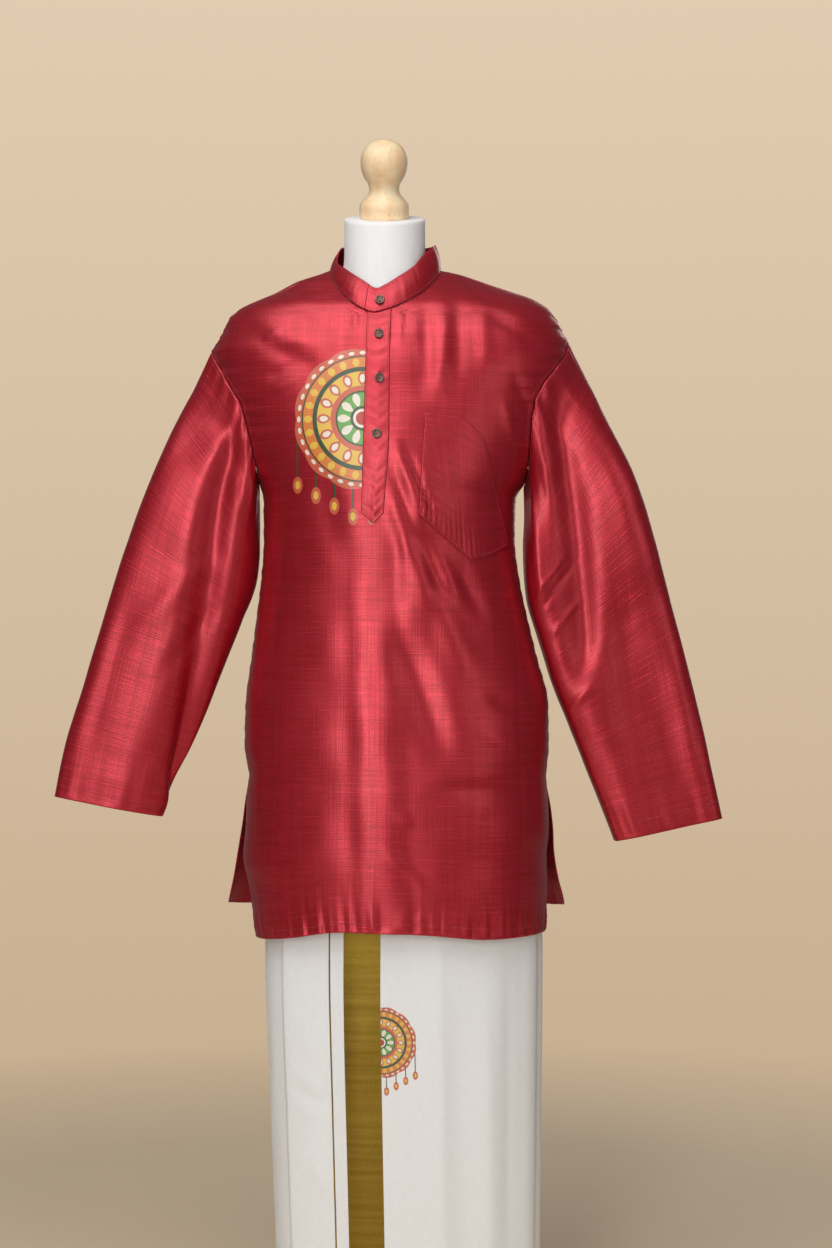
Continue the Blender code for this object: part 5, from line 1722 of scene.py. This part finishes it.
@dataclass
class DressForm:
    """Jersey torso and neck, turned knob, pole and round base."""

    jersey: bpy.types.Material
    beech: bpy.types.Material
    steel: bpy.types.Material
    columns: int = 128
    steps: int = 150
    smooth_power: float = 8.0
    neck_tilt: float = math.radians(16.0)
    tilt_from_z: float = 1.478
    neck_top_z: float = 1.540
    neck_radius: float = 0.054
    neck_round: float = 0.0012
    knob_centre_x: float = -0.0185
    pole_radius: float = 0.014
    base_radius: float = 0.190
    base_thickness: float = 0.014
    boss_radius: float = 0.036
    boss_height: float = 0.012
    bevel: float = 0.005
    part_gap: float = 0.0003

    def torso_ring(self, z: Array, turn: Array) -> Array:
        """Ring of the form: the torso's oval joined with the round neck.

        The radius is the smooth greater of the two, (oval^8 + neck^8)^(1/8), and the rings
        above the shoulders tilt with the neck's top.

        Args:
            z: Height.
            turn: Angle round in radians, 0 in front.

        Returns:
            The points.
        """
        z, turn = as_grids(z, turn)
        row = read_row(FORM, z)
        half = np.where(np.sin(turn) >= 0.0, row.right - row.centre, row.centre - row.left)
        x = half * np.sin(turn)
        y = -np.where(np.cos(turn) >= 0.0, row.front, row.back) * np.cos(turn)
        oval = np.hypot(x, y)
        power = self.smooth_power
        radius = (oval**power + row.neck**power) ** (1.0 / power)
        y = y * radius / oval
        share = ease((z - self.tilt_from_z) / (self.neck_top_z - self.tilt_from_z))
        tilt = y * math.tan(self.neck_tilt) * share
        return np.stack([row.centre + x * radius / oval, y, z + tilt], axis=-1)

    def build_torso(self) -> None:
        """Build the torso and neck, rounded at the neck's top edge and closed above and below."""
        turn = np.linspace(0.0, 2.0 * np.pi, self.columns, endpoint=False)[None]
        z = np.linspace(self.neck_top_z, FORM[-1].z, self.steps)[:, None]
        rings = self.torso_ring(z, turn)
        edge = 1.0 - self.neck_round / self.neck_radius
        crown = [shrunk(rings[:1], share) for share in (1e-4, 0.35, 0.7, 0.93, edge)]
        lower = rings[:1] - np.array([0.0, 0.0, self.neck_round])
        under = [shrunk(rings[-1:], share) for share in (0.9, 0.5, 1e-4)]
        points = np.concatenate([*crown, lower, rings[1:], *under])
        maps = {"weave": cloth_map(closed_ring(points), 0)}
        piece = grid_object("form_torso_jersey", points, maps, joined=True)
        weld(piece, 2e-5)
        dress(piece, self.jersey, Slot.JERSEY, "form_torso")

    def build_knob(self) -> None:
        """Build the turned beech knob, which stands square on the tilted top of the neck."""
        keys = np.arange(len(KNOB), dtype=float)
        at = np.linspace(0.0, keys[-1], self.steps)
        outline = [smooth_curve(keys, column(KNOB, name), at) for name in KnobPoint._fields]
        profile = np.concatenate([np.stack(outline, axis=-1), [[0.0, 0.0]]])
        piece = turned("form_knob_beech", profile, 112)
        up = Vector((0.0, -math.sin(self.neck_tilt), math.cos(self.neck_tilt)))
        seat = Vector((self.knob_centre_x, 0.0, self.neck_top_z)) + up * self.part_gap
        piece.data.transform(Matrix.Translation(seat) @ Matrix.Rotation(self.neck_tilt, 4, "X"))
        dress(piece, self.beech, Slot.BEECH, "form_knob")

    def rounded(self, radius: float, top: float) -> Array:
        """A quarter round over a disc's upper edge, as radii and heights."""
        arc = np.linspace(0.0, math.pi / 2.0, 7)
        bend = self.bevel * np.stack([np.sin(arc), np.cos(arc)], axis=-1)
        return np.array([radius, top]) - self.bevel + bend

    def build_stand(self) -> None:
        """Build the pole and the round base."""
        top = self.base_thickness + self.boss_height
        plate = [
            [[0.0, top], [0.5 * self.boss_radius, top]],
            self.rounded(self.boss_radius, top),
            [[self.boss_radius, self.base_thickness + 0.0015]],
            [[self.boss_radius + 0.0015, self.base_thickness]],
            [[0.6 * self.base_radius, self.base_thickness]],
            self.rounded(self.base_radius, self.base_thickness),
            [[self.base_radius, 0.002], [self.base_radius - 0.002, 0.0], [0.0, 0.0]],
        ]
        dress(turned("form_base_plate", np.concatenate(plate), 144), self.steel, Slot.STEEL, "form_base")
        low = top + self.part_gap
        high = FORM[-1].z - self.part_gap
        radius = self.pole_radius
        tube = [
            [[0.0, high], [radius - 0.001, high], [radius, high - 0.001]],
            [[radius, z] for z in np.linspace(high - 0.01, low + 0.01, 12)],
            [[radius, low + 0.001], [radius - 0.001, low], [0.0, low]],
        ]
        dress(turned("form_pole_tube", np.concatenate(tube), 72), self.steel, Slot.STEEL, "form_pole")

    def build(self) -> None:
        """Build the torso, knob, pole and base."""
        self.build_torso()
        self.build_knob()
        self.build_stand()
        LOG.info("dress form built")


# Node tools


@dataclass(frozen=True, eq=False)
class Signal:
    """A node's output, on which sums, products and comparisons add Math nodes."""

    graph: Graph
    socket: bpy.types.NodeSocket

    def __add__(self, other: Value) -> Signal:
        """The sum of both."""
        return self.graph.calculate("ADD", self, other)

    def __sub__(self, other: Value) -> Signal:
        """The first less the second."""
        return self.graph.calculate("SUBTRACT", self, other)

    def __mul__(self, other: Value) -> Signal:
        """The product of both."""
        return self.graph.calculate("MULTIPLY", self, other)

    def __lt__(self, other: Value) -> Signal:
        """1 where the first is less."""
        return self.graph.calculate("LESS_THAN", self, other)

    def __gt__(self, other: Value) -> Signal:
        """1 where the first is greater."""
        return self.graph.calculate("GREATER_THAN", self, other)

    def __abs__(self) -> Signal:
        """The value without its sign."""
        return self.graph.calculate("ABSOLUTE", self)


Value = Signal | float | Triple


@dataclass
class Graph:
    """A node tree with short ways to add nodes and to join them."""

    tree: bpy.types.NodeTree

    def add(self, kind: str, **settings: object) -> bpy.types.Node:
        """Add a node and set its options."""
        node = self.tree.nodes.new(kind)
        for key, value in settings.items():
            setattr(node, key, value)
        return node

    def feed(self, target: bpy.types.NodeSocket, value: Value) -> None:
        """Join a socket to a signal, or set its own value."""
        if isinstance(value, Signal):
            self.tree.links.new(value.socket, target)
        elif isinstance(value, tuple) and target.type == "RGBA":
            target.default_value = (*value, 1.0)
        else:
            target.default_value = value

    def run(self, node: bpy.types.Node, inputs: dict[str | int, Value], output: str | int = 0) -> Signal:
        """Feed a node's inputs and give one of its outputs."""
        for key, value in inputs.items():
            self.feed(node.inputs[key], value)
        return Signal(self, node.outputs[output])

    def calculate(self, operation: str, *values: Value) -> Signal:
        """A Math node on one or two values."""
        return self.run(self.add("ShaderNodeMath", operation=operation), dict(enumerate(values)))

    def mix(self, share: Value, first: Value, second: Value) -> Signal:
        """A colour between two, by a share."""
        return self.run(self.add("ShaderNodeMix", data_type="RGBA"), {0: share, 6: first, 7: second}, 2)

    def blend(self, share: Value, first: Value, second: Value) -> Signal:
        """A number between two, by a share."""
        return self.run(self.add("ShaderNodeMix", data_type="FLOAT"), {0: share, 2: first, 3: second})

    def spread(self, value: Value, low: float, high: float) -> Signal:
        """0 below low, 1 above high, straight between."""
        return self.run(self.add("ShaderNodeMapRange"), {"Value": value, "From Min": low, "From Max": high})

    def scaled(self, where: Value, factors: Triple) -> Signal:
        """A place stretched by three factors."""
        return self.run(self.add("ShaderNodeVectorMath", operation="MULTIPLY"), {0: where, 1: factors})

    def centred(self, where: Value, centre: tuple[float, float], radii: tuple[float, float]) -> Signal:
        """A place taken from a centre, in units of two radii."""
        node = self.add("ShaderNodeVectorMath", operation="SUBTRACT")
        moved = self.run(node, {0: where, 1: (*centre, 0.0)})
        return self.scaled(moved, (1.0 / radii[0], 1.0 / radii[1], 1.0))

    def noise(self, where: Value, factors: Triple, detail: float = 2.0) -> Signal:
        """Soft noise with so many features a metre along each way."""
        inputs = {"Vector": self.scaled(where, factors), "Scale": 1.0, "Detail": detail}
        return self.run(self.add("ShaderNodeTexNoise"), inputs)

    def map_place(self, name: str) -> Signal:
        """Place on one of the piece's UV maps, in metres."""
        return self.run(self.add("ShaderNodeUVMap", uv_map=name), {})

    def object_place(self) -> Signal:
        """Place in the object's own frame, in metres."""
        return self.run(self.add("ShaderNodeTexCoord"), {}, "Object")

    def group(self, tree: bpy.types.NodeTree, place: Value, *names: str) -> list[Signal]:
        """Named outputs of a shared group at a place."""
        node = self.add("ShaderNodeGroup", node_tree=tree)
        self.feed(node.inputs[0], place)
        return [Signal(self, node.outputs[name]) for name in names]

    def parts(self, where: Value) -> list[Signal]:
        """The three coordinates of a place."""
        node = self.add("ShaderNodeSeparateXYZ")
        self.feed(node.inputs[0], where)
        return [Signal(self, output) for output in node.outputs]

    def length(self, across: Signal, along: Signal) -> Signal:
        """Distance from the origin, from two coordinates."""
        return self.calculate("SQRT", across * across + along * along)

    def bump(self, height: Value, distance: float, strength: float) -> Signal:
        """A surface normal that follows a height."""
        inputs = {"Strength": strength, "Distance": distance, "Height": height}
        return self.run(self.add("ShaderNodeBump"), inputs)


def new_material(name: str) -> tuple[bpy.types.Material, Graph, bpy.types.Node]:
    """An empty material, its graph and its Principled shader."""
    material = bpy.data.materials.new(name)
    material.use_nodes = True
    material.node_tree.nodes.clear()
    graph = Graph(material.node_tree)
    shader = graph.add("ShaderNodeBsdfPrincipled")
    output = graph.add("ShaderNodeOutputMaterial")
    graph.feed(output.inputs["Surface"], Signal(graph, shader.outputs[0]))
    return material, graph, shader


def new_group(name: str, outputs: dict[str, str]) -> tuple[Graph, Signal, bpy.types.Node]:
    """A shader group that takes a place and puts out the named values.

    Args:
        name: Name of the group.
        outputs: Socket type of each output by name.

    Returns:
        Its graph, the place that it takes, and the node that takes its outputs.
    """
    tree = bpy.data.node_groups.new(name, "ShaderNodeTree")
    tree.interface.new_socket("Place", in_out="INPUT", socket_type="NodeSocketVector")
    for title, kind in outputs.items():
        tree.interface.new_socket(title, in_out="OUTPUT", socket_type=kind)
    graph = Graph(tree)
    return graph, graph.run(graph.add("NodeGroupInput"), {}), graph.add("NodeGroupOutput")


# Shared surface effects


def slub_group() -> bpy.types.NodeTree:
    """Uneven threads of dupion silk on a map in metres: their tone and their height.

    Long thin thick places lie along the weft, which runs across, and fewer along the warp.
    """
    graph, place, end = new_group("slub", {"Tone": "NodeSocketFloat", "Height": "NodeSocketFloat"})
    weft = graph.noise(place, (16.0, 620.0, 1.0), 1.0)
    broad_weft = graph.noise(place, (5.0, 120.0, 1.0), 2.0)
    warp = graph.noise(place, (520.0, 9.0, 1.0), 1.0)
    broad_warp = graph.noise(place, (95.0, 3.0, 1.0), 2.0)
    fine = weft * 0.55 + warp * 0.45
    broad = broad_weft * 0.5 + broad_warp * 0.5
    graph.feed(end.inputs["Tone"], graph.spread(fine * 0.6 + broad * 0.4, 0.43, 0.57))
    graph.feed(end.inputs["Height"], fine + graph.spread(weft, 0.58, 0.78) * 0.4)
    return graph.tree


def rosette_group() -> bpy.types.NodeTree:
    """A generic rosette of petal rings with hanging drops, on a map in units of its radius.

    The rings are steps of the distance from the centre. Petals and dots repeat with the angle
    round it, and a scalloped edge is 0.965 + 0.035 |sin 6a|. Four drops hang below.
    """
    graph, place, end = new_group("rosette", {"Colour": "NodeSocketColor", "Mask": "NodeSocketFloat"})
    u, v, _ = graph.parts(place)
    radius = graph.length(u, v)
    angle = graph.calculate("ARCTAN2", v, u)
    ramp = graph.add("ShaderNodeValToRGB")
    ramp.color_ramp.interpolation = "CONSTANT"
    stops = ramp.color_ramp.elements
    stops.remove(stops[1])
    stops[0].position = 0.0
    stops[0].color = (*Paint.RED.value, 1.0)
    for at, paint in ROSETTE_RINGS:
        stops.new(at).color = (*paint.value, 1.0)
    colour = graph.run(ramp, {0: radius})
    for ring in ROSETTE_PETALS:
        bow = graph.calculate("SINE", graph.spread(radius, ring.inner, ring.outer) * math.pi)
        wave = abs(graph.calculate("COSINE", angle * (ring.count / 2.0)))
        petal = wave + bow * ring.width > 1.0
        colour = graph.mix(petal * (bow > 0.02), colour, ring.paint.value)
    disc = radius < abs(graph.calculate("SINE", angle * 6.0)) * 0.035 + 0.965
    cells = abs(u) * (1.0 / DROP_SPACING)
    index = graph.calculate("FLOOR", cells)
    local = (graph.calculate("FRACT", cells) - 0.5) * DROP_SPACING
    foot = index * 0.15 + -1.36
    away = graph.length(local, (v - foot) * 0.62)
    few = index < 3.5
    drop = (away < 0.072) * few
    line = (abs(local) < 0.014) * ((v < -0.2) * (v > foot)) * few
    bead = graph.mix(away < 0.036, Paint.CORAL.value, Paint.YELLOW.value)
    outer = graph.mix(drop, Paint.DARK_GREEN.value, bead)
    graph.feed(end.inputs["Colour"], graph.mix(disc, outer, colour))
    hanging = graph.calculate("MAXIMUM", drop, line)
    graph.feed(end.inputs["Mask"], graph.calculate("MAXIMUM", disc, hanging))
    return graph.tree


# Finishes


@dataclass(frozen=True)
class SilkFinish:
    """Shot dupion silk: slubbed threads, a soft metal-like lustre and an optional print."""

    name: str = "silk"
    deep: Triple = (0.395, 0.001, 0.006)
    bright: Triple = (0.545, 0.012, 0.038)
    metallic: float = 0.62
    roughness: float = 0.38
    sheen: float = 0.04
    coat: float = 0.58
    print_centre: tuple[float, float] | None = None
    print_radii: tuple[float, float] = (0.0905, 0.0945)
    print_edge: float = -0.030

    def build(self, slub: bpy.types.NodeTree, rosette: bpy.types.NodeTree) -> bpy.types.Material:
        """The material; with a print centre, the rosette's right half is left off."""
        material, graph, shader = new_material(self.name)
        weave = graph.map_place("weave")
        threads, height = graph.group(slub, weave, "Tone", "Height")
        tone = threads * 0.7 + graph.noise(weave, (7.0, 5.0, 1.0), 3.0) * 0.3
        colour = graph.mix(tone, self.deep, self.bright)
        metallic: Value = self.metallic
        if self.print_centre:
            place = graph.map_place("print")
            printed, mask = graph.group(
                rosette, graph.centred(place, self.print_centre, self.print_radii), "Colour", "Mask"
            )
            mask = mask * (graph.parts(place)[0] < self.print_edge) * graph.blend(threads, 0.90, 1.0)
            colour = graph.mix(mask, colour, printed)
            metallic = graph.blend(mask, self.metallic, 0.0)
        inputs = {
            "Base Color": colour,
            "Metallic": metallic,
            "Roughness": graph.blend(tone, self.roughness + 0.05, self.roughness - 0.05),
            "Sheen Weight": self.sheen,
            "Sheen Roughness": 0.45,
            "Sheen Tint": (1.0, 0.42, 0.48),
            "Coat Weight": self.coat,
            "Coat Roughness": 0.35,
            "Normal": graph.bump(height, 0.00060, 0.60),
        }
        graph.run(shader, inputs)
        return material


@dataclass(frozen=True)
class CottonFinish:
    """White mundu cotton with a woven gold band and line, and a print beside the band."""

    band_start: float
    band_end: float
    line_at: float
    print_height: float = 0.441
    print_radius: float = 0.047
    line_width: float = 0.0022
    cloth: Triple = (0.93, 0.955, 0.98)
    shade: Triple = (0.87, 0.895, 0.92)
    gold: Triple = (0.200, 0.122, 0.008)
    gold_light: Triple = (0.330, 0.220, 0.030)

    def build(self, rosette: bpy.types.NodeTree) -> bpy.types.Material:
        """The material, on the cloth's own map of metres along and up."""
        material, graph, shader = new_material("mundu_cotton")
        place = graph.map_place("weave")
        along = graph.parts(place)[0]
        weft = graph.noise(place, (90.0, 900.0, 1.0), 1.0)
        warp = graph.noise(place, (1100.0, 60.0, 1.0), 1.0)
        threads = weft * 0.5 + warp * 0.5
        colour = graph.mix(graph.spread(threads, 0.35, 0.65), self.shade, self.cloth)
        band = (along > self.band_start) * (along < self.band_end)
        line = abs(along - self.line_at) < self.line_width / 2.0
        metal = graph.calculate("MAXIMUM", band, line)
        glint = graph.noise(place, (420.0, 1400.0, 1.0), 1.0)
        streaks = graph.noise(place, (6.0, 160.0, 1.0), 2.0)
        share = graph.spread(glint * 0.6 + streaks * 0.4, 0.36, 0.68)
        colour = graph.mix(metal, colour, graph.mix(share, self.gold, self.gold_light))
        centre = (self.band_end, self.print_height)
        design = graph.centred(place, centre, (self.print_radius, self.print_radius))
        printed, mask = graph.group(rosette, design, "Colour", "Mask")
        beside = (along > self.band_end) * (along < self.band_end + 2.0 * self.print_radius)
        crumple = graph.noise(place, (14.0, 9.0, 1.0), 3.0)
        relief = crumple * 3.0 + threads * 0.35 + metal * 0.25
        inputs = {
            "Base Color": graph.mix(mask * beside * 0.92, colour, printed),
            "Metallic": metal * 0.72,
            "Roughness": graph.blend(metal, 0.82, 0.42),
            "Sheen Weight": 0.12,
            "Specular IOR Level": 0.3,
            "Normal": graph.bump(relief, 0.0006, 0.6),
        }
        graph.run(shader, inputs)
        return material


@dataclass(frozen=True)
class PlainFinish:
    """A finish of two near tones by stretched noise, with a fine relief."""

    name: str
    dark: Triple
    light: Triple
    grain: Triple
    roughness: float
    metallic: float = 0.0
    sheen: float = 0.0

    def build(self) -> bpy.types.Material:
        """The material, on places in the object's own frame."""
        material, graph, shader = new_material(self.name)
        place = graph.object_place()
        fine = graph.noise(place, self.grain, 3.0)
        broad = graph.noise(place, tuple(factor * 0.13 for factor in self.grain), 2.0)
        tone = graph.spread(fine * 0.6 + broad * 0.4, 0.35, 0.65)
        inputs = {
            "Base Color": graph.mix(tone, self.dark, self.light),
            "Metallic": self.metallic,
            "Roughness": graph.blend(tone, self.roughness + 0.06, self.roughness - 0.04),
            "Sheen Weight": self.sheen,
            "Normal": graph.bump(fine, 0.0001, 0.5),
        }
        graph.run(shader, inputs)
        return material


FINE_GRAIN = (900.0, 900.0, 900.0)
SILK_THREAD = PlainFinish("silk_thread", (0.30, 0.02, 0.03), (0.52, 0.06, 0.08), FINE_GRAIN, 0.42)
DARK_THREAD = PlainFinish(
    "buttonhole_thread", (0.09, 0.006, 0.010), (0.18, 0.014, 0.022), FINE_GRAIN, 0.6
)
COTTON_THREAD = PlainFinish("cotton_thread", (0.62, 0.6, 0.56), (0.8, 0.78, 0.74), FINE_GRAIN, 0.7)
JERSEY = PlainFinish(
    "jersey", (0.89, 0.90, 0.905), (0.95, 0.96, 0.965), (900.0, 900.0, 260.0), 0.85, sheen=0.15
)
STEEL = PlainFinish(
    "steel", (0.38, 0.38, 0.39), (0.48, 0.48, 0.49), (40.0, 40.0, 900.0), 0.34, metallic=1.0
)


def beech_material() -> bpy.types.Material:
    """Oiled beech: rings round the axis drawn out into long grain, with short dark flecks."""
    material, graph, shader = new_material("beech")
    place = graph.object_place()
    rings = graph.noise(place, (95.0, 95.0, 10.0), 3.0)
    fleck = graph.spread(graph.noise(place, (420.0, 420.0, 55.0), 1.0), 0.62, 0.74)
    wood = graph.mix(graph.spread(rings, 0.36, 0.66), (0.97, 0.680, 0.385), (1.0, 0.820, 0.550))
    inputs = {
        "Base Color": graph.mix(fleck * 0.35, wood, (0.50, 0.260, 0.110)),
        "Roughness": graph.blend(rings, 0.46, 0.36),
        "Coat Weight": 0.15,
        "Coat Roughness": 0.30,
        "Normal": graph.bump(rings, 0.00012, 0.4),
    }
    graph.run(shader, inputs)
    return material


def shell_material() -> bpy.types.Material:
    """Smoked shell: cloudy brown-grey layers with four thread holes painted near black as painted shade, on
    the disc's map.
    """
    material, graph, shader = new_material("button_shell")
    disc = graph.map_place("weave")
    clouds = graph.noise(disc, (420.0, 420.0, 1.0), 3.0)
    layers = graph.mix(graph.spread(clouds, 0.35, 0.65), (0.060, 0.024, 0.018), (0.240, 0.130, 0.095))
    u, v, _ = graph.parts(disc)
    # The holes are not cut: a near-black disc at each stands in for the shade inside the hole (painted
    # shade)
    hole_shade = graph.length(abs(u) - 0.0012, abs(v) - 0.0012) < 0.0006
    inputs = {
        "Base Color": graph.mix(hole_shade, layers, (0.01, 0.008, 0.008)),
        "Roughness": graph.blend(clouds, 0.30, 0.18),
        "Coat Weight": 0.4,
        "Coat Roughness": 0.12,
        "Normal": graph.bump(clouds, 0.00008, 0.3),
    }
    graph.run(shader, inputs)
    return material


# Studio


@dataclass
class Studio:
    """Camera at the photograph's view, soft lights, a pale floor and a warm graded surround."""

    camera_place: Triple = (0.0245, -2.9, 0.9886)
    lens: float = 61.5
    top: Triple = (0.753, 0.604, 0.440)
    low: Triple = (0.546, 0.402, 0.258)
    ambient: float = 0.12
    floor_radius: float = 2.2

    def build_camera(self) -> None:
        """Build the camera, level and square to the front."""
        camera = bpy.data.cameras.new("camera")
        camera.lens = self.lens
        camera.sensor_width = 36.0
        holder = place_object("camera", camera)
        holder.location = self.camera_place
        holder.rotation_euler = (math.pi / 2.0, 0.0, 0.0)
        bpy.context.scene.camera = holder

    def build_lamp(self, lamp: Lamp) -> None:
        """Build an area light that faces its aim."""
        light = bpy.data.lights.new(lamp.name, "AREA")
        light.shape = "RECTANGLE"
        light.energy = lamp.watts
        light.size = lamp.wide
        light.size_y = lamp.high
        light.color = lamp.colour
        holder = place_object(lamp.name, light)
        holder.location = lamp.place
        towards = Vector(lamp.aim) - Vector(lamp.place)
        holder.rotation_euler = towards.to_track_quat("-Z", "Y").to_euler()

    def build_world(self) -> None:
        """Build a surround that is graded for the camera and dimmer as a light."""
        world = bpy.data.worlds.new("studio")
        world.use_nodes = True
        world.node_tree.nodes.clear()
        graph = Graph(world.node_tree)
        ahead = graph.run(graph.add("ShaderNodeTexCoord"), {}, "Generated")
        share = graph.spread(graph.parts(ahead)[2], -0.281, 0.281)
        seen = graph.run(graph.add("ShaderNodeBackground"), {"Color": graph.mix(share, self.low, self.top)})
        lit = {"Color": (1.0, 0.95, 0.90), "Strength": self.ambient}
        light = graph.run(graph.add("ShaderNodeBackground"), lit)
        camera = graph.run(graph.add("ShaderNodeLightPath"), {}, "Is Camera Ray")
        choice = graph.run(graph.add("ShaderNodeMixShader"), {0: camera, 1: light, 2: seen})
        graph.feed(graph.add("ShaderNodeOutputWorld").inputs["Surface"], choice)
        bpy.context.scene.world = world

    def build_floor(self) -> None:
        """Build a round pale floor that fades out towards its rim."""
        work = bmesh.new()
        bmesh.ops.create_circle(work, cap_ends=True, segments=96, radius=self.floor_radius)
        mesh = bpy.data.meshes.new("floor")
        work.to_mesh(mesh)
        work.free()
        floor = place_object("floor", mesh)
        floor.location = (0.0, 0.0, -0.0005)
        material, graph, shader = new_material("floor")
        place = graph.object_place()
        grain = graph.noise(place, (60.0, 60.0, 1.0), 3.0)
        tone = graph.mix(grain, (0.93, 0.74, 0.53), (0.96, 0.78, 0.56))
        solid = graph.run(shader, {"Base Color": tone, "Roughness": 0.8})
        away = graph.run(graph.add("ShaderNodeVectorMath", operation="LENGTH"), {0: place}, "Value")
        fade = graph.spread(away, 0.55 * self.floor_radius, self.floor_radius * 0.98)
        clear = graph.run(graph.add("ShaderNodeBsdfTransparent"), {})
        blend = graph.run(graph.add("ShaderNodeMixShader"), {0: fade, 1: solid, 2: clear})
        output = next(node for node in graph.tree.nodes if node.bl_idname == "ShaderNodeOutputMaterial")
        graph.feed(output.inputs["Surface"], blend)
        mesh.materials.append(material)

    def build(self) -> None:
        """Build the camera, lights, surround and floor."""
        self.build_camera()
        for lamp in LAMPS:
            self.build_lamp(lamp)
        self.build_world()
        self.build_floor()
        bpy.context.scene.view_settings.view_transform = "Standard"
        LOG.info("studio built")


def main() -> None:
    """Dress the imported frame: cloth, trims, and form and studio."""
    logging.basicConfig(level=logging.INFO, format="%(message)s")
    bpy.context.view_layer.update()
    slub = slub_group()
    rosette = rosette_group()
    silk = SilkFinish().build(slub, rosette)
    printed = SilkFinish(name="silk_printed", print_centre=(-0.0455, 1.257)).build(slub, rosette)
    thread = SILK_THREAD.build()
    cotton_thread = COTTON_THREAD.build()
    shape = KurtaShape()
    stitches = StitchRun("silk_stitches")
    BodyPanels(shape, silk, printed, stitches).build()
    for side in Side:
        Sleeve(side, shape, silk, stitches).build()
    collar = Collar(shape, silk, stitches)
    collar.build()
    Placket(shape, silk, DARK_THREAD.build(), stitches).build()
    Pocket(shape, silk, stitches).build()
    stitches.build(thread, Slot.SILK)
    shell = shell_material()
    for place in BUTTONS:
        Button(place, shape, collar, shell, thread).build()
    hem = StitchRun("mundu_stitches")
    mundu = Mundu(cotton_thread, hem)
    mundu.finish = CottonFinish(
        band_start=mundu.across_at(GOLD_BAND_X[0]),
        band_end=mundu.across_at(GOLD_BAND_X[1]),
        line_at=mundu.across_at(GOLD_LINE_X),
    ).build(rosette)
    mundu.build()
    hem.build(cotton_thread, Slot.COTTON)
    DressForm(JERSEY.build(), beech_material(), STEEL.build()).build()
    Studio().build()


if __name__ == "__main__":
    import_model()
    main()
